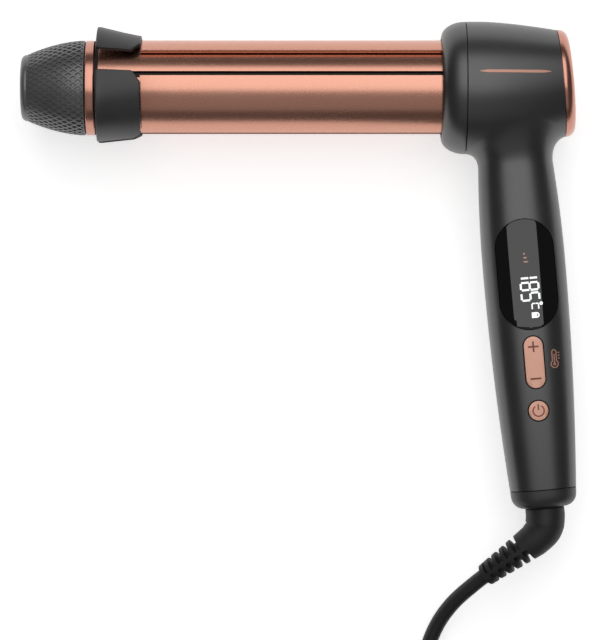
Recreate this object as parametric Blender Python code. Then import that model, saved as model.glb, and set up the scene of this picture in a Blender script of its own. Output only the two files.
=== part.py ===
"""Curling iron with three sprung flaps round a heated barrel, lying on its back.

The barrel runs along -X from the round head, the handle hangs from the head along -Y, and +Z is the
side with the display. Design coordinates start on the barrel axis at the front of the head's collar;
OFFSET moves them so that the world origin is the middle of the iron's underside.
"""

import math

import bmesh
import bpy
from mathutils import Matrix, Vector

MM = 0.001
GAP = 0.3 * MM                      # left between pieces that touch on the real iron

# --- barrel and its flaps -----------------------------------------------------------------------
BARREL_LENGTH = 137.5 * MM          # inner barrel, from the collar's front to the tip ring
BARREL_RADIUS = 17.2 * MM
BARREL_WALL = 1.5 * MM
FLAP_THICKNESS = 1.2 * MM
FLAP_CLEARANCE = 0.6 * MM           # air between the inner barrel and a closed flap
FLAP_HALF_ANGLE = math.radians(42)
FLAP_ANGLES = {"top": 90.0, "front": -30.0, "rear": -150.0}   # degrees from +Z towards +Y
FLAP_TIP_LENGTH = 17.3 * MM
FLAP_TIP_HALF_ANGLE = math.radians(46.5)
FLAP_TIP_FLARE = 3.9 * MM           # how far the middle of a tip's free end stands out
FLAP_TIP_EDGE_FLARE = 1.8 * MM      # how far its two sides stand out
FLAP_TIP_WALL = 1.6 * MM
FLAP_TIP_CHAMFER = 3.3 * MM
FLAP_TIP_CHAMFER_ANGLE = math.radians(12)
TIP_END_CLEARANCE = 0.6 * MM        # from a flap's free end to the tip ring

# --- hinges of the flaps, inside the collar -----------------------------------------------------
HINGE_X = 7.0 * MM
HINGE_INSET = 3.0 * MM              # a hinge pin lies this far inside the barrel's surface
HINGE_RADIUS = BARREL_RADIUS - HINGE_INSET
PIN_RADIUS = 0.95 * MM
PIN_CLEARANCE = 0.1 * MM
LUG_WIDTH = 5.0 * MM
LUG_HALF_LENGTH = 2.2 * MM
LUG_DEPTH = 1.9 * MM                # how far a lug reaches past its pin
EAR_WIDTH = 1.8 * MM
EAR_INNER = 5.1 * MM                # from the middle of a lug to the inside of an ear
EAR_RISE = 0.7 * MM                 # plastic above a pin hole
FLAP_BEHIND_PIN = 1.5 * MM          # a flap's plate ends this far behind its pin
TONGUE_SHORT = 0.28                 # share of the tip that the plate's tongue stays clear of
TONGUE_HALF_ANGLE = math.radians(20)
TIP_OVERHANG = 0.15 * MM            # step up from a plate to its plastic tip
BARREL_SEAT_X = 1.3 * MM            # the inner barrel ends against the base here
BASE_SLEEVE = 14.0 * MM             # how far the base reaches into the barrel
BASE_SEAT_THICKNESS = 1.7 * MM
BASE_NECK_CLEARANCE = 1.2 * MM
BASE_FLANGE_THICKNESS = 2.2 * MM
BASE_BORE_RADIUS = 6.5 * MM
EAR_ROOT = 4.2 * MM                 # an ear reaches this far below its pin, into the neck
SPRING_RADIUS = 1.75 * MM
SPRING_WIRE_RADIUS = 0.3 * MM
SPRING_TURNS = 2

# --- cool tip -----------------------------------------------------------------------------------
TIP_RING_LENGTH = 3.6 * MM
TIP_RING_RADIUS = BARREL_RADIUS + 1.7 * MM
COOL_TIP_LENGTH = 25.6 * MM
COOL_TIP_RADIUS = TIP_RING_RADIUS
COOL_TIP_NOSE_RADIUS = COOL_TIP_RADIUS - 5.7 * MM
COOL_TIP_CORNER = 2.2 * MM
COOL_TIP_WALL = 2.2 * MM
TIP_HOLDER_LENGTH = 9.0 * MM
TIP_HOLDER_REACH = 6.0 * MM         # how far the holder stands into the cool tip
TIP_SCREW_RADIUS = 1.6 * MM
TIP_SCREW_BITE = 7.0 * MM

# --- head ---------------------------------------------------------------------------------------
COLLAR_BORE_RADIUS = BARREL_RADIUS + FLAP_CLEARANCE + FLAP_THICKNESS + 0.8 * MM   # lets flaps lift
COLLAR_LIP_RADIUS = COLLAR_BORE_RADIUS + 0.4 * MM
HEAD_RADIUS = COLLAR_LIP_RADIUS + 6.2 * MM
HEAD_REAR_RADIUS = HEAD_RADIUS - 5.0 * MM
HEAD_REAR_RISE = 1.8 * MM           # the rear circle's centre above the barrel axis
HEAD_REAR_X = 47.5 * MM
HEAD_STRAIGHT_X = 16.0 * MM         # the head keeps its full radius as far as this
HEAD_TAPER_POWER = 1.5
COLLAR_LENGTH = 9.5 * MM
COLLAR_LIP_DEPTH = 2.0 * MM
COLLAR_WALL = 2.1 * MM
COLLAR_SPIGOT = 3.0 * MM
END_CAP_THICKNESS = 4.3 * MM
END_CAP_ROUNDING = 3.6 * MM
END_CAP_SPIGOT = 3.0 * MM
END_CAP_WALL = 2.2 * MM
HOUSING_WALL = 2.1 * MM

# --- handle, measured down its own axis from the barrel axis ------------------------------------
HANDLE_LEAN = math.radians(4.88)
HANDLE_X = 27.05 * MM               # where its axis crosses the barrel axis
HANDLE_START = 8.0 * MM
NECK_AT = HEAD_RADIUS + 4.4 * MM    # the neck is narrowest this far down the handle
GRIP_AT = 72.0 * MM
HANDLE_END = 167.8 * MM
HANDLE_SEAM = HANDLE_END - 7.5 * MM
NECK_HALF_WIDTH, GRIP_HALF_WIDTH, END_HALF_WIDTH = 14.9 * MM, 16.5 * MM, 13.2 * MM
NECK_HALF_DEPTH, GRIP_HALF_DEPTH, END_HALF_DEPTH = 14.4 * MM, 15.4 * MM, 12.6 * MM
SECTION_POWER = 2.5                 # 2 is an ellipse, more is squarer
NECK_FILLET_FRONT = (5.0 * MM, 5.0 * MM)      # along the handle, across it
NECK_FILLET_REAR = (11.0 * MM, 6.2 * MM)
NECK_FILLET_DEPTH = (10.0 * MM, 5.0 * MM)
END_ROUNDING = 4.5 * MM
END_SPIGOT = 3.4 * MM

# --- display and keys ---------------------------------------------------------------------------
WINDOW_AT = 74.8 * MM
WINDOW_WIDTH = 22.9 * MM
WINDOW_LENGTH = 43.7 * MM
WINDOW_THICKNESS = 1.6 * MM
ROCKER_WIDTH = 7.5 * MM
ROCKER_LENGTH = 20.4 * MM
ROCKER_AT = WINDOW_AT + WINDOW_LENGTH / 2 + 2.85 * MM + ROCKER_LENGTH / 2
POWER_RADIUS = 3.85 * MM
POWER_AT = ROCKER_AT + ROCKER_LENGTH / 2 + 5.15 * MM + POWER_RADIUS
KEY_CLEARANCE = 0.5 * MM
KEY_PROUD = 0.5 * MM
KEY_DEPTH = 3.2 * MM
ROCKER_PIVOT_DEPTH = 2.4 * MM

# --- inside the handle --------------------------------------------------------------------------
BOARD_Z = 3.0 * MM
BOARD_THICKNESS = 1.6 * MM
BOARD_HALF_WIDTH = 9.0 * MM
BOARD_FROM, BOARD_TO = 49.0 * MM, 136.5 * MM
DISPLAY_HALF_WIDTH = 8.5 * MM
DISPLAY_AIR = 2.6 * MM              # from the wall's inside down to the display
SWITCH_HEIGHT = 4.2 * MM
MEMBRANE_THICKNESS = 0.7 * MM
TRIAC = (5.0 * MM, 58.0 * MM, 66.0 * MM, 4.5 * MM)       # half width, from, to, height
HEAT_SINK = (6.0 * MM, 56.0 * MM, 70.0 * MM, 3.2 * MM)
FILM_CAPACITOR = (7.0 * MM, 76.0 * MM, 92.0 * MM, 6.0 * MM)
FUSE_AT, FUSE_RADIUS, FUSE_HALF_LENGTH = 99.0 * MM, 2.5 * MM, 6.0 * MM
BUZZER_AT, BUZZER_RADIUS = 112.0 * MM, 5.0 * MM
LEAD_RADIUS = 0.9 * MM
MAINS_LEAD_SIDE = 5.6 * MM          # keeps the mains leads clear of the lower boss
BOSS_RADIUS = 3.4 * MM
BOSSES = (41.0 * MM, HANDLE_END - 26.3 * MM)      # down the handle
SCREW_RADIUS = 1.2 * MM
SCREW_HEAD_RADIUS = 2.2 * MM
SCREW_HEAD_HEIGHT = 1.8 * MM
SCREW_SEAT_Z = -6.0 * MM
SCREW_TOP_Z = 6.0 * MM

# --- heater -------------------------------------------------------------------------------------
HEATER_LENGTH = 110.0 * MM
HEATER_FROM_X = -126.0 * MM
CORE_CLEARANCE = 0.4 * MM
CORE_HALF_SLOT = 1.9 * MM
PTC_HALF_THICKNESS = 1.3 * MM
PTC_HALF_WIDTH = 8.0 * MM

# --- swivel, strain relief and cord -------------------------------------------------------------
STEM_RADIUS = 3.5 * MM
STEM_HEAD_RADIUS = 5.0 * MM
STEM_HEAD_HEIGHT = 2.2 * MM
ROTOR_RADIUS = 3.2 * MM
BRUSH_FROM, BRUSH_TO = HANDLE_END - 21.5 * MM, HANDLE_END - 14.8 * MM
BRUSH_HALF_WIDTH, BRUSH_HALF_DEPTH = 7.5 * MM, 6.0 * MM
BUSH_RADIUS = 5.6 * MM
BUSH_HEIGHT = 8.6 * MM
BOOT_RADIUS = 7.8 * MM
BOOT_END_RADIUS = 4.6 * MM
BOOT_LENGTH = 38.0 * MM             # along its bend
CORD_RADIUS = 3.1 * MM
COIL_MEAN_RADIUS = 34.0 * MM
COIL_LANES = 3
COIL_LAYERS = 3
COIL_TIE_THICKNESS = 0.6 * MM
COIL_TIE_WIDTH = 10.0 * MM
COIL_TIE_ANGLE = math.radians(-85)
TAIL_TURN = math.radians(42)        # turns the tail and the plug about the coil's centre
COIL_CENTRE = (-2.3 * MM, -104.0 * MM)   # from the swivel's centre on the handle's end
PLUG_WIDTH = 35.3 * MM
PLUG_DEPTH = 13.7 * MM
PLUG_LENGTH = 33.0 * MM
PLUG_NECK = 15.0 * MM
PLUG_PIN_RADIUS = 2.0 * MM
PLUG_PIN_LENGTH = 19.0 * MM
PLUG_PIN_SPACING = 18.6 * MM

# --- facets -------------------------------------------------------------------------------------
BIG_ROUND = 32
MID_ROUND = 20
SMALL_ROUND = 14

# --- the cord's way, from the swivel's centre: chosen by hand ------------------------------------
ROUTE_POINTS = [(0.1, -1.2, 0), (0.3, -3.8, 0), (-0.4, -8.6, 0), (-3.4, -12.4, -0.2), (-6.2, -14.7, -0.6),
                (-13.0, -19.8, -2.2), (-20.4, -25.4, -5.4), (-28.6, -32.2, -10.0), (-36.0, -39.4, -14.8),
                (-41.8, -47.8, -19.0), (-45.8, -57.6, -21.9), (-48.0, -68.0, -23.1), (-49.0, -80.0, -23.25),
                (-49.3, -92.0, -23.25), (-49.3, -104.0, -23.25)]
TAIL_POINTS = [(17.0, -29.4), (24.7, -22.6), (29.3, -13.3), (29.6, -2.4), (25.6, 7.6), (17.6, 15.2),
               (8.0, 18.8), (2.0, 19.2)]      # from the coil's centre, one side of the ring to the plug

# --- worked out from the values above -----------------------------------------------------------
FLAP_INNER = BARREL_RADIUS + FLAP_CLEARANCE
FLAP_OUTER = FLAP_INNER + FLAP_THICKNESS
FLAP_FREE_X = -BARREL_LENGTH + TIP_END_CLEARANCE
FLAP_TIP_X = FLAP_FREE_X + FLAP_TIP_LENGTH          # where a black tip meets its plate
TIP_RING_X = -BARREL_LENGTH - GAP
COOL_TIP_X = TIP_RING_X - TIP_RING_LENGTH - GAP
NOSE_X = COOL_TIP_X - COOL_TIP_LENGTH
HOUSING_X = COLLAR_LENGTH + GAP
BASE_FLANGE_X = COLLAR_LENGTH + COLLAR_SPIGOT + GAP
FIRST_X = NOSE_X
LAST_X = (HEAD_REAR_X + (END_CAP_THICKNESS - END_CAP_ROUNDING) * math.cos(HANDLE_LEAN)
          + (HEAD_REAR_RADIUS - END_CAP_ROUNDING) * math.sin(HANDLE_LEAN) + END_CAP_ROUNDING)
LOWEST_Y = -((HANDLE_END - END_ROUNDING) * math.cos(HANDLE_LEAN)
             + (END_HALF_WIDTH - END_ROUNDING) * math.sin(HANDLE_LEAN) + END_ROUNDING)
OFFSET = Vector((-(FIRST_X + LAST_X) / 2, -(HEAD_RADIUS + LOWEST_Y) / 2, HEAD_RADIUS))
ROUTE = [Vector(p) * MM for p in ROUTE_POINTS]
DOWN_HANDLE = Vector((math.sin(HANDLE_LEAN), -math.cos(HANDLE_LEAN), 0))


# --- tools --------------------------------------------------------------------------------------

def clear_scene():
    for thing in list(bpy.data.objects):
        bpy.data.objects.remove(thing, do_unlink=True)


def linear(channel):
    c = channel / 255
    return c / 12.92 if c <= 0.04045 else ((c + 0.055) / 1.055) ** 2.4


def material(name, rgb, roughness, metallic=0.0):
    found = bpy.data.materials.get(name)
    if found:
        return found
    made = bpy.data.materials.new(name)
    made.use_nodes = True
    shader = made.node_tree.nodes["Principled BSDF"]
    shader.inputs["Base Color"].default_value = (*[linear(c) for c in rgb], 1)
    shader.inputs["Roughness"].default_value = roughness
    shader.inputs["Metallic"].default_value = metallic
    made.diffuse_color = shader.inputs["Base Color"].default_value
    return made


FINISHES = {
    "rose_gold": ((199, 150, 135), 0.25, 0.9),
    "black_plastic": ((38, 38, 39), 0.45, 0.0),
    "soft_black": ((34, 34, 35), 0.5, 0.0),
    "rubber": ((30, 30, 31), 0.7, 0.0),
    "smoked_window": ((10, 10, 11), 0.05, 0.0),
    "copper_key": ((196, 141, 120), 0.35, 0.6),
    "steel": ((180, 180, 182), 0.3, 1.0),
    "aluminium": ((170, 172, 175), 0.4, 1.0),
    "ceramic": ((225, 222, 214), 0.6, 0.0),
    "brass": ((200, 165, 90), 0.3, 1.0),
    "board_green": ((30, 90, 55), 0.5, 0.0),
    "silicone": ((150, 150, 152), 0.7, 0.0),
    "nylon": ((210, 208, 200), 0.5, 0.0),
    "wire_red": ((150, 40, 35), 0.5, 0.0),
}


def joint_empty(name, place, turn=Matrix.Identity(3)):
    """An empty on a joint's axis, or at the start of a frame that pieces share."""
    empty = bpy.data.objects.new(name, None)
    empty.matrix_world = Matrix.Translation(place) @ turn.to_4x4()
    bpy.context.collection.objects.link(empty)
    return empty


def add_piece(name, bm, finish, parent, smooth=40.0):
    """Turn a bmesh into the piece of that name, in its parent's frame."""
    bmesh.ops.remove_doubles(bm, verts=bm.verts, dist=1e-7)
    bmesh.ops.recalc_face_normals(bm, faces=bm.faces)
    mesh = bpy.data.meshes.new(name)
    bm.to_mesh(mesh)
    bm.free()
    mesh.shade_smooth()
    mesh.set_sharp_from_angle(angle=math.radians(smooth))
    mesh.materials.append(material(finish, *FINISHES[finish]))
    piece = bpy.data.objects.new(name, mesh)
    bpy.context.collection.objects.link(piece)
    piece.parent = parent
    return piece


def add_cutter(name, bm, parent):
    cutter = add_piece(name, bm, "steel", parent)
    cutter.hide_render = True
    cutter.display_type = "WIRE"
    return cutter


def boolean(piece, operation, cutter):
    step = piece.modifiers.new(cutter.name, "BOOLEAN")
    step.operation = operation
    step.solver = "EXACT"
    step.object = cutter


def skin(bm, rings, closed=False):
    """Bridge rings of points that have the same count; ends are filled unless closed."""
    rows = [[bm.verts.new(p) for p in ring] for ring in rings]
    pairs = list(zip(rows, rows[1:]))
    if closed:
        pairs.append((rows[-1], rows[0]))
    for near, far in pairs:
        count = len(near)
        for i in range(count):
            j = (i + 1) % count
            bm.faces.new((near[i], near[j], far[j], far[i]))
    if not closed:
        bm.faces.new(rows[0])
        bm.faces.new(rows[-1][::-1])
    return bm


def turned(profile, steps, axis="X", bm=None):
    """Spin a closed (along, radius) outline round X, Y or Z. Points at radius 0 close on the axis."""
    bm = bm or bmesh.new()
    across = {"X": Vector((0, 0, 1)), "Y": Vector((1, 0, 0)), "Z": Vector((1, 0, 0))}[axis]
    along = {"X": Vector((1, 0, 0)), "Y": Vector((0, 1, 0)), "Z": Vector((0, 0, 1))}[axis]
    verts = [bm.verts.new(along * a + across * r) for a, r in profile]
    on_axis = [r < 1e-9 for _, r in profile]
    edges = []
    for i in range(len(verts)):
        j = (i + 1) % len(verts)
        if not (on_axis[i] and on_axis[j]):
            edges.append(bm.edges.new((verts[i], verts[j])))
    bmesh.ops.spin(bm, geom=verts + edges, axis=along, cent=(0, 0, 0), angle=2 * math.pi,
                   steps=steps, use_merge=True, use_duplicate=False)
    bmesh.ops.remove_doubles(bm, verts=bm.verts, dist=1e-7)
    return bm


def box(low, high, bm=None):
    bm = bm or bmesh.new()
    low, high = Vector(low), Vector(high)
    size = high - low
    place = Matrix.Translation((low + high) / 2) @ Matrix.Diagonal((*size, 1))
    bmesh.ops.create_cube(bm, size=1, matrix=place)
    return bm


def rod(radius, start, end, steps=SMALL_ROUND, bm=None):
    """A plain cylinder between two points."""
    bm = bm or bmesh.new()
    start, end = Vector(start), Vector(end)
    turn = (end - start).to_track_quat("Z", "Y").to_matrix().to_4x4()
    bmesh.ops.create_cone(bm, cap_ends=True, segments=steps, radius1=radius, radius2=radius,
                          depth=(end - start).length, matrix=Matrix.Translation((start + end) / 2) @ turn)
    return bm


def arc(radius, start, end, count, centre=(0.0, 0.0)):
    """Points of a circular arc in a plane, from one angle to the other."""
    turns = [start + (end - start) * i / (count - 1) for i in range(count)]
    return [(centre[0] + radius * math.cos(a), centre[1] + radius * math.sin(a)) for a in turns]


def stadium(width, length, centre_y, low, high, steps=9):
    """A round-ended prism along Y, from the height low to the height high."""
    r = width / 2
    straight = length / 2 - r
    outline = (arc(r, 0, math.pi, steps, (0, centre_y + straight))
               + arc(r, math.pi, 2 * math.pi, steps, (0, centre_y - straight)))
    return skin(bmesh.new(), [[(x, y, z) for x, y in outline] for z in (low, high)])


def smooth_route(points, spacing, start=0.0, stop=None):
    """Points every spacing metres along a Catmull-Rom curve through the given points, from the
    distance start to the distance stop."""
    ends = [2 * points[0] - points[1]] + points + [2 * points[-1] - points[-2]]
    fine = []
    for a, b, c, d in zip(ends, ends[1:], ends[2:], ends[3:]):
        for i in range(24):
            t = i / 24
            fine.append(0.5 * (2 * b + (c - a) * t + (2 * a - 5 * b + 4 * c - d) * t * t
                               + (3 * b - a - 3 * c + d) * t ** 3))
    fine.append(points[-1].copy())
    reach = [0.0]
    for p, q in zip(fine, fine[1:]):
        reach.append(reach[-1] + (q - p).length)
    stop = stop or reach[-1]
    count = max(2, round((stop - start) / spacing))
    route, at = [], 0
    for i in range(count + 1):
        want = start + (stop - start) * i / count
        while at < len(reach) - 2 and reach[at + 1] < want:
            at += 1
        share = (want - reach[at]) / max(reach[at + 1] - reach[at], 1e-12)
        route.append(fine[at].lerp(fine[at + 1], min(share, 1.0)))
    return route


def tube_along(stations, steps):
    """Skin circles (point, direction, radius) that follow one another."""
    rings = []
    side = Vector((0, 0, 1))
    for point, direction, radius in stations:
        direction = direction.normalized()
        side = (side - direction * side.dot(direction)).normalized()
        other = direction.cross(side)
        rings.append([point + radius * (math.cos(a) * side + math.sin(a) * other)
                      for a in (2 * math.pi * i / steps for i in range(steps))])
    return skin(bmesh.new(), rings)


def add_cord_tube(name, points, radius, finish, parent):
    """A curve object of one POLY spline with a round bevel and filled caps."""
    curve = bpy.data.curves.new(name, "CURVE")
    curve.dimensions = "3D"
    curve.bevel_depth = radius
    curve.bevel_resolution = 2
    curve.use_fill_caps = True
    spline = curve.splines.new("POLY")
    spline.points.add(len(points) - 1)
    for spot, p in zip(spline.points, points):
        spot.co = (*p, 1)
    curve.materials.append(material(finish, *FINISHES[finish]))
    piece = bpy.data.objects.new(name, curve)
    bpy.context.collection.objects.link(piece)
    piece.parent = parent
    return piece


# --- shape of the handle and the head -----------------------------------------------------------

def swell(at, neck, grip, end):
    """Half a size of the handle at a distance down its axis: two parabolas that meet at the grip."""
    if at < GRIP_AT:
        return grip - (grip - neck) * ((GRIP_AT - at) / (GRIP_AT - NECK_AT)) ** 2
    return grip - (grip - end) * ((at - GRIP_AT) / (HANDLE_SEAM - GRIP_AT)) ** 2


def flare(at, fillet):
    """What the fillet under the head adds to a half size."""
    along, across = fillet
    share = min(max((NECK_AT - at) / along, 0.0), 1.0)
    return across * (1 - math.sqrt(1 - share * share))


def handle_ring(at, inset=0.0, steps=MID_ROUND + 8):
    """One cross-section of the handle, in the handle's own frame (its axis runs down -Y)."""
    kept = max(at, NECK_AT)
    width = swell(kept, NECK_HALF_WIDTH, GRIP_HALF_WIDTH, END_HALF_WIDTH) - inset
    depth = swell(kept, NECK_HALF_DEPTH, GRIP_HALF_DEPTH, END_HALF_DEPTH) - inset
    front = width + flare(at, NECK_FILLET_FRONT)
    rear = width + flare(at, NECK_FILLET_REAR)
    depth += flare(at, NECK_FILLET_DEPTH)
    ring = []
    for i in range(steps):
        a = 2 * math.pi * (i + 0.5) / steps
        c, s = math.cos(a), math.sin(a)
        x = math.copysign(abs(c) ** (2 / SECTION_POWER), c) * (rear if c > 0 else front)
        z = math.copysign(abs(s) ** (2 / SECTION_POWER), s) * depth
        ring.append((x, -at, z))
    return ring


def handle_body(inset=0.0, end=HANDLE_SEAM):
    """The handle as a solid, with its surface moved in by inset."""
    neck = [NECK_AT - NECK_FILLET_REAR[0] * k for k in (1.0, 0.9, 0.75, 0.5, 0.25)]
    grip = [NECK_AT + (end - NECK_AT) * k / 8 for k in range(9)]
    return skin(bmesh.new(), [handle_ring(at, inset) for at in [HANDLE_START] + neck + grip])


def head_ring(x, inset, lean=0.0, steps=BIG_ROUND):
    """One circle of the head; lean tips it to lie in the end cap's plane."""
    share = max(0.0, (x - HEAD_STRAIGHT_X) / (HEAD_REAR_X - HEAD_STRAIGHT_X)) ** HEAD_TAPER_POWER
    radius = HEAD_RADIUS + (HEAD_REAR_RADIUS - HEAD_RADIUS) * share - inset
    rise = HEAD_REAR_RISE * share
    ring = []
    for i in range(steps):
        a = 2 * math.pi * (i + 0.5) / steps
        y, z = radius * math.cos(a), radius * math.sin(a)
        ring.append((x - y * math.sin(lean), rise + y * math.cos(lean), z))
    return ring


def head_body(inset=0.0, start=HOUSING_X, end=HEAD_REAR_X):
    """The head behind the collar as a solid, from the collar's seam to the end cap's plane."""
    inner = (HEAD_STRAIGHT_X, 24 * MM, 32 * MM, 40 * MM)
    rings = [head_ring(start, inset)]
    for x in inner:
        share = (x - HEAD_STRAIGHT_X) / (HEAD_REAR_X - HEAD_STRAIGHT_X)
        rings.append(head_ring(x, inset, HANDLE_LEAN * share))
    rings.append(head_ring(end, inset, HANDLE_LEAN))
    return skin(bmesh.new(), rings)


def surface_z(at):
    """Height of the handle's front face above its axis, on the middle line."""
    return swell(at, NECK_HALF_DEPTH, GRIP_HALF_DEPTH, END_HALF_DEPTH)


# --- barrel -------------------------------------------------------------------------------------

def make_inner_barrel(barrel):
    inner, outer = BARREL_RADIUS - BARREL_WALL, BARREL_RADIUS
    ends = -BARREL_LENGTH, BARREL_SEAT_X - GAP
    add_piece("inner_barrel", turned([(ends[0], outer), (ends[1], outer), (ends[1], inner), (ends[0], inner)],
                                     BIG_ROUND), "rose_gold", barrel)


def make_barrel_base(barrel, flap_frames):
    """Heat-proof ring that the barrel seats on, with two ears for each flap's pin."""
    sleeve = BARREL_RADIUS - BARREL_WALL - GAP
    neck = HINGE_RADIUS - LUG_DEPTH - BASE_NECK_CLEARANCE
    flange = HEAD_RADIUS - HOUSING_WALL - GAP
    back = BASE_FLANGE_X + BASE_FLANGE_THICKNESS
    outline = [(-BASE_SLEEVE, sleeve), (BARREL_SEAT_X, sleeve), (BARREL_SEAT_X, BARREL_RADIUS),
               (BARREL_SEAT_X + BASE_SEAT_THICKNESS, BARREL_RADIUS),
               (BARREL_SEAT_X + BASE_SEAT_THICKNESS, neck), (BASE_FLANGE_X, neck), (BASE_FLANGE_X, flange),
               (back, flange), (back, BASE_BORE_RADIUS), (-BASE_SLEEVE, BASE_BORE_RADIUS)]
    base = add_piece("barrel_base", turned(outline, BIG_ROUND), "nylon", barrel)
    top = PIN_RADIUS + PIN_CLEARANCE + EAR_RISE
    for name, frame in flap_frames.items():
        for side in (-1, 1):
            near, far = sorted((side * EAR_INNER, side * (EAR_INNER + EAR_WIDTH)))
            ear = box((-LUG_HALF_LENGTH, near, -EAR_ROOT), (BASE_FLANGE_X - HINGE_X + MM, far, top))
            boolean(base, "UNION", add_cutter(f"ear_{name}_{side + 1}", ear, frame))
        reach = EAR_INNER + EAR_WIDTH + MM
        hole = rod(PIN_RADIUS + PIN_CLEARANCE, (0, -reach, 0), (0, reach, 0))
        boolean(base, "DIFFERENCE", add_cutter(f"pin_hole_{name}", hole, frame))


def arc_ring(x, half_angle, inner, outer, count=13):
    """Section of a curved plate round the barrel: inner and outer give the radius for a share
    from -1 to 1 across it. The ring is in the flap's frame, whose origin is its hinge."""
    shares = [2 * i / (count - 1) - 1 for i in range(count)]
    over = [(outer(s), s * half_angle) for s in shares]
    under = [(inner(s), s * half_angle) for s in reversed(shares)]
    return [(x - HINGE_X, r * math.sin(a), r * math.cos(a) - HINGE_RADIUS) for r, a in over + under]


def make_flap(name, frame):
    """Curved plate with a lug for its pin and a thin tongue under its plastic tip."""
    def level(radius):
        return lambda share: radius

    tongue_end = FLAP_FREE_X + FLAP_TIP_LENGTH * TONGUE_SHORT
    plate_end = FLAP_TIP_X + GAP
    tongue = FLAP_INNER + FLAP_THICKNESS / 2
    stations = [(tongue_end, TONGUE_HALF_ANGLE, tongue), (plate_end, TONGUE_HALF_ANGLE, tongue),
                (plate_end, FLAP_HALF_ANGLE, FLAP_OUTER),
                (HINGE_X + FLAP_BEHIND_PIN, FLAP_HALF_ANGLE, FLAP_OUTER)]
    rings = [arc_ring(x, half, level(FLAP_INNER), level(outer)) for x, half, outer in stations]
    flap = add_piece(f"flap_{name}", skin(bmesh.new(), rings), "rose_gold", frame)
    lug = box((-LUG_HALF_LENGTH, -LUG_WIDTH / 2, -LUG_DEPTH),
              (FLAP_BEHIND_PIN - GAP, LUG_WIDTH / 2, FLAP_INNER + FLAP_THICKNESS / 2 - HINGE_RADIUS))
    boolean(flap, "UNION", add_cutter(f"lug_{name}", lug, frame))
    hole = rod(PIN_RADIUS + PIN_CLEARANCE, (0, -LUG_WIDTH, 0), (0, LUG_WIDTH, 0))
    boolean(flap, "DIFFERENCE", add_cutter(f"lug_hole_{name}", hole, frame))


def make_flap_tip(name, frame):
    """Black plastic end of a flap. It flares away from the barrel, most in the middle."""
    def outer_at(along):
        lift = along ** 1.15
        return lambda s: (FLAP_OUTER + TIP_OVERHANG
                          + lift * (FLAP_TIP_EDGE_FLARE + (FLAP_TIP_FLARE - FLAP_TIP_EDGE_FLARE)
                                    * math.cos(s * math.pi / 2) ** 1.5))

    def inner_at(along, clear):
        top = outer_at(along)
        return lambda s: max(top(s) - FLAP_TIP_WALL, clear)

    tongue_top = FLAP_INNER + FLAP_THICKNESS / 2 + GAP
    over_tongue = FLAP_TIP_LENGTH * (1 - TONGUE_SHORT) + 2 * GAP
    narrow = FLAP_TIP_HALF_ANGLE - FLAP_TIP_CHAMFER_ANGLE
    rings = [arc_ring(FLAP_TIP_X, narrow, inner_at(0, tongue_top), outer_at(0))]
    for distance in (FLAP_TIP_CHAMFER, FLAP_TIP_LENGTH * 0.45, over_tongue, FLAP_TIP_LENGTH - MM):
        along = distance / FLAP_TIP_LENGTH
        rings.append(arc_ring(FLAP_TIP_X - distance, FLAP_TIP_HALF_ANGLE,
                              inner_at(along, tongue_top), outer_at(along)))
    rounded = outer_at(1.0)
    rings.append(arc_ring(FLAP_FREE_X, FLAP_TIP_HALF_ANGLE * 0.985, inner_at(1.0, tongue_top),
                          lambda s: rounded(s) - 0.5 * MM))
    add_piece(f"flap_tip_{name}", skin(bmesh.new(), rings), "black_plastic", frame)


def make_flap_hinge(name, frame):
    """Pin and torsion spring. Both stay with the barrel when the flap lifts."""
    reach = EAR_INNER + EAR_WIDTH
    add_piece(f"hinge_pin_{name}", rod(PIN_RADIUS, (0, -reach, 0), (0, reach, 0)), "steel", frame)
    middle = (LUG_WIDTH / 2 + EAR_INNER) / 2
    pitch = (EAR_INNER - LUG_WIDTH / 2 - 2 * SPRING_WIRE_RADIUS - 2 * GAP) / SPRING_TURNS
    steps = 10 * SPRING_TURNS
    spots = []
    for i in range(steps + 1):
        a = 2 * math.pi * i / 10
        y = middle + pitch * (i / 10 - SPRING_TURNS / 2)
        spots.append(Vector((SPRING_RADIUS * math.cos(a), y, SPRING_RADIUS * math.sin(a))))
    stations = [(p, spots[min(i + 1, steps)] - spots[max(i - 1, 0)], SPRING_WIRE_RADIUS)
                for i, p in enumerate(spots)]
    add_piece(f"flap_spring_{name}", tube_along(stations, 6), "steel", frame)


def cool_tip_radius(distance):
    share = min(distance / (COOL_TIP_LENGTH - COOL_TIP_CORNER), 1.0)
    return COOL_TIP_RADIUS - (COOL_TIP_RADIUS - COOL_TIP_NOSE_RADIUS) * share ** 1.8


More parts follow.
